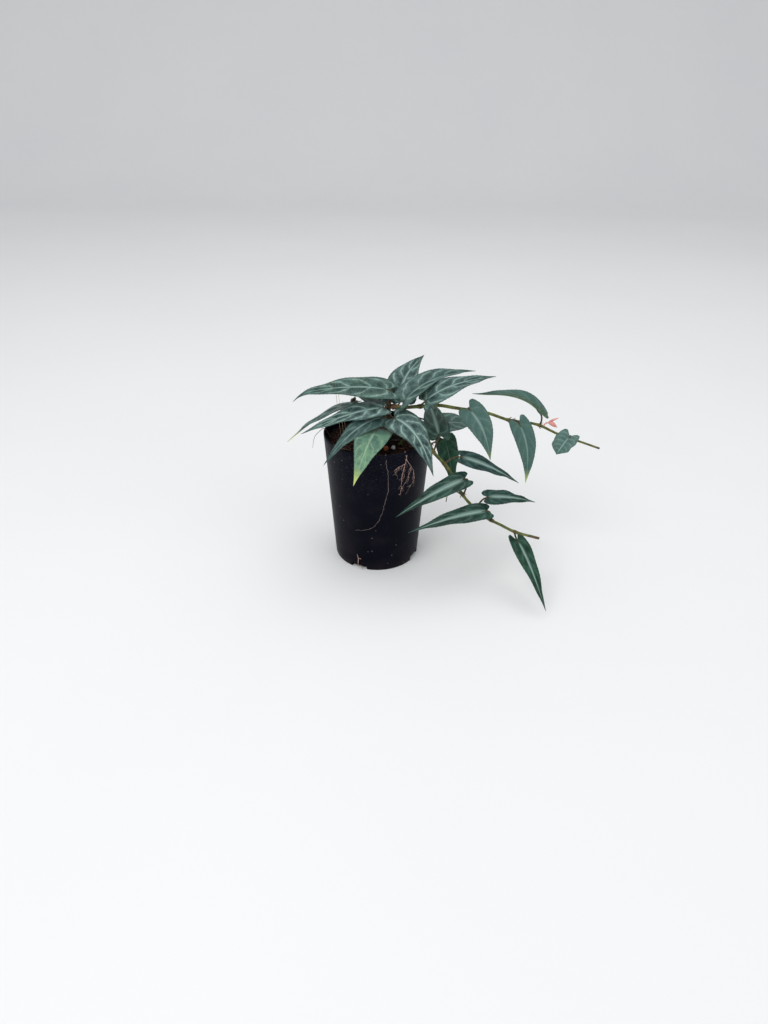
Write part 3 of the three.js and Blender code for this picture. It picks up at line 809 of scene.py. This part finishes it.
potLook = {
    "base": 0.82,  # base radius as a share of the rim's
    "wall": 1.4 * mm,
    "floor": 2 * mm,
    "foot": 5 * mm,  # width of the flat ring that it stands on
    "footHeight": 0.6 * mm,
    "sides": 192,
    "notches": 4,
    "notchTurn": -114.0,
    "notchWide": 16 * mm,
    "notchHigh": 5 * mm,
    "notchDeep": 9 * mm,
    "notchRound": 1.6 * mm,
    "plastic": [colour(4, 5, 15), colour(8, 9, 22)],
    "dust": colour(86, 66, 52),
    "speck": colour(140, 135, 135),
    "dash": colour(76, 78, 98),
}
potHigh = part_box("nursery_pot")[1]
potHeight = potHigh[2]
rimRadius = potHigh[0]
baseRadius = potLook["base"] * rimRadius


def wallRadius(height):
    return baseRadius + (rimRadius - baseRadius) * height / potHeight


def around(turn, radius, height):
    return Vector((radius * math.cos(math.radians(turn)), radius * math.sin(math.radians(turn)), height))


def potSkin():
    look = potLook
    skin, sheet, shader = newSkin("potPlastic", Specular_IOR_Level=0.05)
    place = sheet.place()
    cloud = sheet.noiseAt(place, 45, 4, 0.6)
    fine = sheet.noiseAt(place, 1400, 3, 0.6)
    spots = sheet.node("ShaderNodeTexVoronoi", {"feature": "F1"}, {"Vector": place, "Scale": 260.0})
    pick = Wire(sheet, spots.socket.node.outputs["Color"])
    chosen = sheet.node("ShaderNodeSeparateColor", None, {0: pick})
    speck = spots.fade(0.17, 0.08) * chosen.fade(0.86, 0.9)
    flattened = {"Vector": place, "Scale": (60.0, 60.0, 420.0), "Rotation": (0.25, 0.15, 0.0)}
    dashes = sheet.noiseAt(sheet.node("ShaderNodeMapping", None, flattened), 6.0, 2, 0.5)
    high = sheet.node("ShaderNodeSeparateXYZ", None, {0: place}, out=2)
    dashed = dashes.fade(0.6, 0.68) * high.fade(0.07, 0.11)
    dust = cloud.fade(0.5, 0.8) * 0.16 + high.fade(0.012, 0.0) * 0.12
    tone = sheet.mix(cloud.fade(0.3, 0.7), *look["plastic"])
    tone = sheet.mix(dust * 0.5, tone, look["dust"])
    tone = sheet.mix(speck * 0.6, tone, look["speck"])
    tone = sheet.mix(dashed * 0.3, tone, look["dash"])
    rough = 0.3 + cloud * 0.14 + fine * 0.06 + speck * 0.3
    wireUp(sheet, shader, tone, rough, fine * 0.3 + dashed * 0.4 + speck, 0.08 * mm)
    return skin


def potProfile():  # radius and height, from the middle of the underside, over the rim, to the floor inside
    look = potLook
    standing = baseRadius - look["foot"]
    profile = [(0.0, look["footHeight"]), (standing - 1 * mm, look["footHeight"]), (standing, 0.0)]
    profile += [(baseRadius - 0.8 * mm, 0.0), (baseRadius - 0.2 * mm, 0.2 * mm)]
    profile += [(wallRadius(h * mm), h * mm) for h in (0.9, 8, 20, 40, 60, 80, 100, 115, 124)]
    lip = look["wall"] / 2
    for turn in range(0, 181, 20):
        a = math.radians(turn)
        profile.append((rimRadius - lip + lip * math.cos(a), potHeight - lip + lip * math.sin(a)))
    profile += [(wallRadius(h * mm) - look["wall"], h * mm) for h in (124, 110, 60, 10)]
    corner = wallRadius(look["floor"]) - look["wall"] - 0.5 * mm
    return profile + [(corner, look["floor"]), (0.0, look["floor"])]


def notchBlock(turn):  # what one drain notch takes out of the bottom edge
    look = potLook
    block = bmesh.new()
    bmesh.ops.create_cube(block, size=1)
    sizes = Vector((look["notchDeep"], look["notchWide"], 2 * look["notchHigh"]))
    bmesh.ops.scale(block, vec=sizes, verts=block.verts)
    isLevel = lambda edge, axis: abs(edge.verts[0].co[axis] - edge.verts[1].co[axis]) < 1e-6
    tops = [e for e in block.edges if isLevel(e, 2) and isLevel(e, 1) and e.verts[0].co.z > 0]
    bmesh.ops.bevel(block, geom=tops, offset=look["notchRound"], segments=4, affect="EDGES", profile=0.5)
    bmesh.ops.transform(block, matrix=Matrix.Rotation(math.radians(turn), 4, "Z"), verts=block.verts)
    bmesh.ops.translate(block, vec=around(turn, baseRadius, 0), verts=block.verts)
    data = bpy.data.meshes.new("notch")
    block.to_mesh(data)
    block.free()
    return bpy.data.objects.new("notch", data)


def buildPot():
    sides = potLook["sides"]
    points, faces, rings = [], [], []
    for radius, height in potProfile():
        if radius == 0:
            rings.append([len(points)] * sides)
            points.append((0, 0, height))
            continue
        rings.append(list(range(len(points), len(points) + sides)))
        points.extend(around(360 * k / sides, radius, height) for k in range(sides))
    for low, high in zip(rings, rings[1:]):
        for k, n in roundPairs(sides):
            faces.append(tuple(dict.fromkeys((low[k], low[n], high[n], high[k]))))
    pot = meshPiece("potWall", points, faces, [potPlastic])
    cutters = bpy.data.collections.new("notches")
    for i in range(potLook["notches"]):
        cutters.objects.link(notchBlock(potLook["notchTurn"] + 360 * i / potLook["notches"]))
    bpy.context.scene.collection.children.link(cutters)
    cut = pot.modifiers.new("notches", "BOOLEAN")
    cut.operand_type = "COLLECTION"
    cut.collection = cutters
    cut.solver = "EXACT"
    settle(pot)
    for block in list(cutters.objects):
        bpy.data.objects.remove(block)
    bpy.data.collections.remove(cutters)
    pot.data.set_sharp_from_angle(angle=math.radians(32))
    finishPiece(pot, "pot", "nursery_pot")


def settle(piece):  # what the modifiers make becomes the piece's plain mesh
    shown = piece.evaluated_get(bpy.context.evaluated_depsgraph_get())
    plain = bpy.data.meshes.new_from_object(shown)
    piece.modifiers.clear()
    old = piece.data
    piece.data = plain
    bpy.data.meshes.remove(old)


potPlastic = potSkin()
buildPot()
say("pot")


# Potting mix: a crumbly mound, with bark chips and fibres strewn over it by geometry nodes

mixLook = {
    "chips": 900,
    "chipSizes": (0.75 * mm, 2.025 * mm),
    "chipReach": 0.93,  # how far out they lie, as a share of the mix's radius
    "fibres": 420,
    "fibreSizes": (2.25 * mm, 5.4 * mm),
    "fibreReach": 0.8,
    "dome": 1.5 * mm,
    "seed": 11,
}
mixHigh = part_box("potting_mix")[1]
mixRadius = mixHigh[0]
mixTop = mixHigh[2] - mixLook["dome"]


def mixSkin(name, dark, light, accent, share):
    skin, sheet, shader = newSkin(name, Specular_IOR_Level=0.12)
    place = sheet.place()
    lumps = sheet.noiseAt(place, 330, 4, 0.65)
    grain = sheet.noiseAt(place, 2300, 3, 0.6)
    streak = sheet.noiseAt(place, 110, 2, 0.5)
    tone = sheet.mix(lumps.fade(0.3, 0.7), dark, light)
    tone = sheet.mix(streak.fade(1 - share, 1.08 - share), tone, accent)
    tone = sheet.mix(grain.fade(0.6, 0.75) * 0.4, tone, colour(96, 74, 62))
    wireUp(sheet, shader, tone, 0.8 + grain * 0.15, lumps * 0.5 + grain * 0.6, 0.35 * mm)
    return skin


# the soil's tones are its own dark brown, darkened further as painted shade for the shade inside the pot
# under the leaves
soilAndShadeSkin = mixSkin("soilAndShadeSkin", colour(9, 5, 5), colour(26, 15, 13), colour(44, 25, 22), 0.42)
chipSkin = mixSkin("chipSkin", colour(16, 10, 8), colour(54, 34, 28), colour(86, 54, 48), 0.42)
fibreSkin = mixSkin("fibreSkin", colour(70, 40, 36), colour(122, 80, 72), colour(156, 120, 108), 0.5)


def strew(name, ground, skin, count, seed, makeShape, sizes, tilt):
    # points over the ground carry turned, scaled copies of one shape, made real at the end
    tree = bpy.data.node_groups.new(name, "GeometryNodeTree")
    inputs = {"Density": "Float", "Seed": "Int", "Smallest": "Float", "Largest": "Float"}
    for label, kind in {"Geometry": "Geometry", **inputs}.items():
        tree.interface.new_socket(label, in_out="INPUT", socket_type="NodeSocket" + kind)
    tree.interface.new_socket("Geometry", in_out="OUTPUT", socket_type="NodeSocketGeometry")
    sheet = Sheet(tree)
    given = tree.nodes.new("NodeGroupInput")
    wire = lambda socket: Wire(sheet, given.outputs[socket])
    points = sheet.node("GeometryNodeDistributePointsOnFaces", {"distribute_method": "RANDOM"},
                        {"Mesh": wire("Geometry"), "Density": wire("Density"), "Seed": wire("Seed")})
    turns = sheet.node("FunctionNodeRandomValue", {"data_type": "FLOAT_VECTOR"},
                       {0: (-tilt, -tilt, 0.0), 1: (tilt, tilt, 6.283), "Seed": 3})
    sized = sheet.node("FunctionNodeRandomValue", {"data_type": "FLOAT_VECTOR"},
                       {0: (0.45, 0.5, 0.35), 1: (1.5, 1.1, 0.9), "Seed": 5})
    grown = sheet.node("FunctionNodeRandomValue", {"data_type": "FLOAT"},
                       {2: wire("Smallest"), 3: wire("Largest"), "Seed": 7}, out=1)
    scaled = sheet.node("ShaderNodeVectorMath", {"operation": "SCALE"}, {0: sized, 3: grown})
    placed = {"Points": points, "Instance": makeShape(sheet), "Rotation": turns, "Scale": scaled}
    copies = sheet.node("GeometryNodeInstanceOnPoints", None, placed)
    real = sheet.node("GeometryNodeRealizeInstances", None, {"Geometry": copies})
    dressed = sheet.node("GeometryNodeSetMaterial", None, {"Geometry": real, "Material": skin})
    tree.links.new(dressed.socket, tree.nodes.new("NodeGroupOutput").inputs[0])
    area = sum(p.area for p in ground.data.polygons)
    piece = bpy.data.objects.new(name, ground.data.copy())
    bpy.context.scene.collection.objects.link(piece)
    layer = piece.modifiers.new(name, "NODES")
    layer.node_group = tree
    values = {"Density": count / area, "Seed": seed, "Smallest": sizes[0], "Largest": sizes[1]}
    for item in tree.interface.items_tree:
        if item.in_out == "INPUT" and item.name in values:
            layer[item.identifier] = values[item.name]
    settle(piece)
    return piece


def chipShape(sheet):
    ball = sheet.node("GeometryNodeMeshIcoSphere", None, {"Radius": 1.0, "Subdivisions": 1})
    position = sheet.node("GeometryNodeInputPosition")
    shape = sheet.noiseAt(position, 1.3, 1, 0.5, out=1)
    values = {0: shape, 1: (0.5, 0.5, 0.5)}
    centred = sheet.node("ShaderNodeVectorMath", {"operation": "SUBTRACT"}, values)
    pushed = sheet.node("ShaderNodeVectorMath", {"operation": "SCALE"}, {0: centred, 3: 1.5})
    return sheet.node("GeometryNodeSetPosition", None, {"Geometry": ball, "Offset": pushed})


def fibreShape(sheet):
    bow = sheet.node("GeometryNodeCurveArc", {"mode": "RADIUS"},
                     {"Resolution": 9, "Radius": 1.0, "Sweep Angle": 1.9})
    outline = {"Resolution": 4, "Radius": 0.028}
    ring = sheet.node("GeometryNodeCurvePrimitiveCircle", {"mode": "RADIUS"}, outline)
    values = {"Curve": bow, "Profile Curve": ring, "Fill Caps": True}
    return sheet.node("GeometryNodeCurveToMesh", None, values)


def buildMix():
    look = mixLook
    rings, sides = 34, 110
    points, faces = [], []
    bottom = potLook["floor"] + 0.3 * mm
    for r in range(rings + 1):
        radius = mixRadius * math.sqrt(r / rings)
        dome = look["dome"] * (1 - r / rings)
        share = 1.0 if r < rings else 0.2  # nearly even along the wall
        for k in range(sides):
            spot = around(360 * k / sides, radius, mixTop)
            lumps = noise.noise(spot * 260) * 0.9 * mm + noise.noise(spot * 90) * 0.8 * mm
            points.append((spot.x, spot.y, mixTop + dome + lumps * share - 0.6 * mm))
    for r in range(rings):
        for k, n in roundPairs(sides):
            faces.append((r * sides + k, (r + 1) * sides + k, (r + 1) * sides + n, r * sides + n))
    inner = lambda share: faces[:int(rings * share ** 2) * sides]  # the rings inside a share of the radius
    chipGround = meshPiece("chipGround", points, inner(look["chipReach"]), [soilAndShadeSkin])
    fibreGround = meshPiece("fibreGround", points, inner(look["fibreReach"]), [soilAndShadeSkin])
    last = rings * sides
    lower = len(points)
    narrow = wallRadius(bottom) - potLook["wall"] - 0.3 * mm
    points += [around(360 * k / sides, narrow, bottom) for k in range(sides)] + [Vector((0, 0, bottom))]
    for k, n in roundPairs(sides):
        faces.append((last + k, lower + k, lower + n, last + n))
        faces.append((lower + k, lower + sides, lower + n))
    body = meshPiece("mixBody", points, faces, [soilAndShadeSkin])
    work = bmesh.new()
    work.from_mesh(body.data)
    bmesh.ops.remove_doubles(work, verts=work.verts, dist=0.05 * mm)
    bmesh.ops.recalc_face_normals(work, faces=work.faces)
    work.to_mesh(body.data)
    work.free()
    finishPiece(body, "mix", "potting_mix")
    seed = look["seed"]
    chips = look["chips"], seed, chipShape, look["chipSizes"], 0.6
    chips = strew("barkChips", chipGround, chipSkin, *chips)
    chips.data.polygons.foreach_set("use_smooth", [False] * len(chips.data.polygons))
    finishPiece(chips, "mix")
    fibres = look["fibres"], seed + 1, fibreShape, look["fibreSizes"], 0.35
    finishPiece(strew("mixFibres", fibreGround, fibreSkin, *fibres), "mix")
    for ground in (chipGround, fibreGround):
        bpy.data.objects.remove(ground)


buildMix()
say("potting mix")


# Roots on the pot. Their points are turns in degrees round the pot and drops in mm below the rim.

rootLook = {
    "longThick": 0.2 * mm,
    "longRoot": [
        (-81, -1.5), (-80, 9), (-78, 20), (-77, 36), (-80, 49), (-85, 66), (-93, 77), (-104, 82),
        (-116, 84),
    ],
    "thick": 0.23 * mm,
    "cluster": [  # the main strand and its branches: share of the thickness, count of hairs, points
        (1.15, 16, [(-60, -1.5), (-58, 6), (-60, 14), (-62, 26), (-62, 38), (-64, 44)]),
        (0.75, 7, [(-58.5, 7), (-51, 17), (-54, 25), (-56, 31), (-61, 37)]),
        (0.75, 7, [(-51.5, 16), (-47, 22), (-45, 32), (-50, 37), (-62, 37.5)]),
        (0.75, 7, [(-59.5, 12), (-63, 13), (-68, 14), (-72, 17)]),
    ],
    "seed": 20,
    "wander": 1.0 * mm,
}


def rootSkin():
    skin, sheet, shader = newSkin("rootSkin", Specular_IOR_Level=0.35)
    place = sheet.place()
    streaks = sheet.noiseAt(place, 420, 3, 0.6)
    grain = sheet.noiseAt(place, 2600, 3, 0.6)
    tone = sheet.mix(streaks.fade(0.3, 0.7), colour(140, 108, 100), colour(200, 172, 160))
    wireUp(sheet, shader, tone, 0.6 + grain * 0.2, grain, 0.08 * mm)
    return skin


rootPale = rootSkin()
wirySkin = stalkSkin("wirySkin", colour(88, 76, 72), colour(148, 132, 124), 420.0)


def onWall(turn, drop, proud):
    height = potHeight - drop * mm
    if drop < 0:
        return around(turn, rimRadius - potLook["wall"] / 2, potHeight + proud)
    return around(turn, wallRadius(height) + proud, height)


def wobbles(points, scale, reach, shift=0):  # how far each point strays, up to the reach
    aside = Vector((shift, 0, 0))
    return reach * np.array([noise.noise_vector(Vector(p) * scale + aside) for p in points])


def strandTube(strand, radius, seed):  # a root on the wall, and the path it takes
    proud = radius * 0.7
    points = [onWall(turn, drop, proud) for turn, drop in strand]
    turn, drop = strand[0]
    if drop < 0:  # it comes over the rim, up from the mix
        inside = rimRadius - potLook["wall"] - proud
        points = [around(turn, rimRadius - 5 * mm, mixTop + 1 * mm),
                  around(turn, inside, potHeight - 1.2 * mm)] + points
    path = evenRows(points, 0.9 * mm)
    wiggle = wobbles(path, 520, rootLook["wander"], seed)
    outward = path[:, :2] / np.linalg.norm(path[:, :2], axis=1, keepdims=True)
    wiggle[:, :2] -= (wiggle[:, :2] * outward).sum(axis=1, keepdims=True) * outward  # it stays on the wall
    path = path + wiggle
    knots = np.array([1 + 0.3 * noise.noise(Vector(p) * 900) for p in path])
    return tubeMesh(path, radius * (1.1 - 0.55 * np.linspace(0, 1, len(path))) * knots, 7), path


def rootHairs(path, count, seed, radius):
    # short side roots that wander over the wall from a strand
    rng = random.Random(seed)
    hairs = []
    for _ in range(count):
        spot = path[rng.randrange(len(path) // 5, len(path) - 2)]
        turn = math.degrees(math.atan2(spot[1], spot[0]))
        drop = (potHeight - spot[2]) / mm
        way = rng.choice((-1, 1))
        reach = [(turn, drop)]
        for _ in range(rng.randrange(4, 9)):
            turn += way * rng.uniform(-1.1, 1.5)
            drop += rng.uniform(-0.3, 2.2)
            reach.append((turn, drop))
        if min(d for _, d in reach) < 1:
            continue
        line = evenRows([onWall(t, d, radius * 0.6) for t, d in reach], 0.7 * mm)
        line = line + wobbles(line, 700, 0.3 * mm)
        hairs.append(tubeMesh(line, radius * np.linspace(0.5, 0.22, len(line)), 5))
    return hairs


def buildRoots():
    look = rootLook
    noise.seed_set(look["seed"])  # without it noise_vector follows the clock
    tube, _ = strandTube(look["longRoot"], look["longThick"], 3)
    finishPiece(joinedPiece("longRoot", [tube], [wirySkin]), "root", "long_root")
    parts = []
    for seed, (share, hairs, strand) in enumerate(look["cluster"], look["seed"]):
        tube, path = strandTube(strand, look["thick"] * share, seed)
        parts += [tube] + rootHairs(path, hairs, seed, look["thick"])
    finishPiece(joinedPiece("rootTangle", parts, [rootPale]), "root", "root_cluster")


buildRoots()
say("roots")

strawSkin = stalkSkin("strawSkin", colour(120, 92, 66), colour(186, 164, 132), 500.0)
# loose strands, in mm, each kind with its thickness, how thin its ends get and the number of its skin
strandLook = {
    "pale": (0.22 * mm, 0.5, 0, [
        [(-33, -2, 121), (-35, -4, 140), (-36, -5, 154), (-38, -5, 180)],
        [(-31, 2, 121), (-33, 1, 142), (-34, 0, 153), (-35.5, 0, 167)],
        [(-29, 6, 121), (-31, 5, 140), (-32, 4, 158)],
    ]),
    "brown": (0.3 * mm, 0.5, 1, [
        [(-44, 3, 122), (-49, 1, 131.5), (-55, 0, 128), (-59, 0, 122), (-61, 0, 112)],
    ]),
    "twigs": (0.5 * mm, 0.8, 1, [
        [(7, -7, 123), (15, -6.5, 124), (26, -5.5, 123.3)],
        [(-30, -24, 123), (-24, -29, 124.5), (-16, -31, 123)],
        [(-40, -14, 123), (-36, -20, 124.5), (-30, -27, 123)],
        [(-14, -38, 123), (-6, -37, 124.6), (4, -38, 123.6)],
    ]),
    "notchRoots": (0.35 * mm, 0.8, 2, [
        [(-17, -36, 3), (-17.6, -39.3, 7), (-17.3, -39.2, 12), (-18.2, -38.9, 17)],
        [(-15, -35, 3), (-15.6, -39.6, 4), (-14, -40.4, 2.6), (-12.6, -41.2, 1)],
        [(-17.3, -39.2, 12), (-15.8, -39.9, 13.5), (-14.8, -40.3, 12.4)],
    ]),
}


def buildStrands():
    parts = []
    for thick, thinnest, skinNumber, strands in strandLook.values():
        for strand in strands:
            path = evenRows(np.array(strand) * mm, 1.2 * mm)
            taper = np.linspace(1.15, thinnest, len(path))
            parts.append(tubeMesh(path, thick * taper, 6, skinNumber=skinNumber))
    finishPiece(joinedPiece("looseStrands", parts, [strawSkin, barkSkin, rootPale]), "root")


buildStrands()
say("loose strands")

shootSkin = stalkSkin("shootSkin", colour(196, 116, 110), colour(236, 172, 162), 420.0)
grainLook = {
    "fertiliser_bead": {"name": "feedBead", "rough": 0.05, "slot": "bead"},
    "perlite_grain": {"name": "perliteGrain", "rough": 0.35, "slot": "perlite"},
    "grainScale": 900,
    "detail": 4,
}
beadSkin = stalkSkin("beadSkin", colour(120, 58, 30), colour(190, 104, 52), 600.0)
perliteSkin = stalkSkin("perliteSkin", colour(188, 188, 184), colour(232, 232, 230), 700.0)


def buildGrain(node, skin):
    look = grainLook[node]
    low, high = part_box(node)
    centre = (Vector(low) + Vector(high)) / 2
    work = bmesh.new()
    bmesh.ops.create_icosphere(work, subdivisions=grainLook["detail"], radius=(high[0] - low[0]) / 2)
    for v in work.verts:
        spot = v.co * grainLook["grainScale"]
        v.co *= 1 + look["rough"] * (noise.noise(spot) + 0.5 * noise.noise(spot * 2.7))
        v.co += centre
    data = bpy.data.meshes.new(look["name"])
    work.to_mesh(data)
    work.free()
    finishPiece(showMesh(look["name"], data, [skin]), look["slot"], node)


buildGrain("fertiliser_bead", beadSkin)
buildGrain("perlite_grain", perliteSkin)
say("grains")


# the shoot, in mm from its node on the vine; each bud has its start, end, width and depth of groove
shootLook = {
    "place": 0.712,  # along the upper vine
    "stalk": [(0.3, 0, 0.9), (2, -0.3, 3.6), (5, -1, 5)],
    "buds": [
        ((4.5, -1, 4.8), (13, -2, 10), 1.0, 0.35),
        ((4.6, -1.2, 4.9), (10.5, -1.2, 8.4), 0.8, 0.3),
        ((4.8, -1.2, 4.7), (12.4, -3.8, 1.2), 2.0, 0.22),
        ((5.2, -1.4, 4.6), (9.8, -4.4, 3.9), 1.4, 0.3),
    ],
}


def budMesh(start, end, width, fold):
    # one small folded leaf that is still closed: a pointed spindle with a groove along it
    path = evenRows([start, (start * 2 + end) / 3 + Vector((0, 0, 0.5 * mm)), end], 0.45 * mm)
    share = np.linspace(0, 1, len(path))
    radii = width * np.sin(np.clip(share * 0.94 + 0.06, 0, 1) ** 0.7 * math.pi) ** 0.8 + 0.08 * mm

    def groove(along, angle):
        return 1 - fold * math.exp(-(math.remainder(angle - 1.2, 2 * math.pi) / 0.45) ** 2)

    return tubeMesh(path, radii, 16, groove)


def buildShoot():
    walked = lengthsAlong(upperPath)
    nearest = np.argmin(np.abs(walked / walked[-1] - shootLook["place"]))
    start = Vector(upperPath[nearest])
    at = lambda place: start + Vector(place) * mm
    stalk = evenRows([at(place) for place in shootLook["stalk"]], 0.5 * mm)
    parts = [tubeMesh(stalk, np.linspace(0.75, 0.6, len(stalk)) * mm, 12)]
    for foot, tip, width, fold in shootLook["buds"]:
        parts.append(budMesh(at(foot), at(tip), width * mm, fold))
    finishPiece(joinedPiece("youngShoot", parts, [shootSkin]), "shoot", "young_shoot")


buildShoot()
say("shoot")


# Floor, light and camera

stageLook = {
    "floor": [colour(232, 231, 229), colour(226, 226, 226)],
    "front": 2.5,
    "back": 2.2,
    "side": 4.0,
    "bend": 0.9,
    "wall": 3.0,
    "aim": (0.05, 0.0, 0.1),
    "lights": [  # name, place, size, watts
        ("windowLight", (-0.7, -0.9, 1.5), 1.1, 12),
        ("fillLight", (1.2, -0.8, 1.1), 1.4, 3.5),
        ("topLight", (0.2, 0.4, 1.8), 1.6, 8),
    ],
    "air": (0.93, 0.96, 1.0, 1.0),
    "airStrength": 0.72,
}


def buildStage():
    look = stageLook
    skin, sheet, shader = newSkin("floorPaint", Specular_IOR_Level=0.2)
    place = sheet.place()
    cloud = sheet.noiseAt(place, 3, 3, 0.5)
    tone = sheet.mix(cloud, *look["floor"])
    wireUp(sheet, shader, tone, 0.75 + cloud * 0.1)
    outline = [(-look["front"], 0.0), (look["back"], 0.0)]
    for a in range(10, 91, 10):
        turn = math.radians(a)
        outline.append((look["back"] + look["bend"] * math.sin(turn), look["bend"] * (1 - math.cos(turn))))
    outline.append((look["back"] + look["bend"], look["wall"]))
    points, faces = [], []
    for y, z in outline:
        points += [(-look["side"], y, z), (look["side"], y, z)]
    for i in range(len(outline) - 1):
        faces.append((2 * i, 2 * i + 1, 2 * i + 3, 2 * i + 2))
    meshPiece("studioFloor", points, faces, [skin])


def softLight(name, place, size, watts):
    light = bpy.data.lights.new(name, "AREA")
    light.shape = "DISK"
    light.size = size
    light.energy = watts
    lamp = bpy.data.objects.new(name, light)
    lamp.location = place
    lamp.rotation_euler = (Vector(stageLook["aim"]) - Vector(place)).to_track_quat("-Z", "Y").to_euler()
    bpy.context.scene.collection.objects.link(lamp)


buildStage()
for lightValues in stageLook["lights"]:
    softLight(*lightValues)
world = bpy.data.worlds.new("studioAir")
world.use_nodes = True
air = world.node_tree.nodes["Background"]
air.inputs["Color"].default_value = stageLook["air"]
air.inputs["Strength"].default_value = stageLook["airStrength"]
scene = bpy.context.scene
scene.world = world
scene.view_settings.view_transform = "Standard"

cameraLook = {"place": (7.05, -592.4, 409.1), "pitch": 58.19, "roll": 0.70, "lens": 24.609}  # mm, degrees
lens = bpy.data.cameras.new("view")
lens.lens = cameraLook["lens"]
lens.sensor_width = 36
lens.clip_start = 0.02
camera = bpy.data.objects.new("view", lens)
place = Matrix.Translation(Vector(cameraLook["place"]) * mm)
pitch = Matrix.Rotation(math.radians(cameraLook["pitch"]), 4, "X")
roll = Matrix.Rotation(math.radians(cameraLook["roll"]), 4, "Z")
camera.matrix_world = place @ pitch @ roll
scene.collection.objects.link(camera)
scene.camera = camera
say("stage")
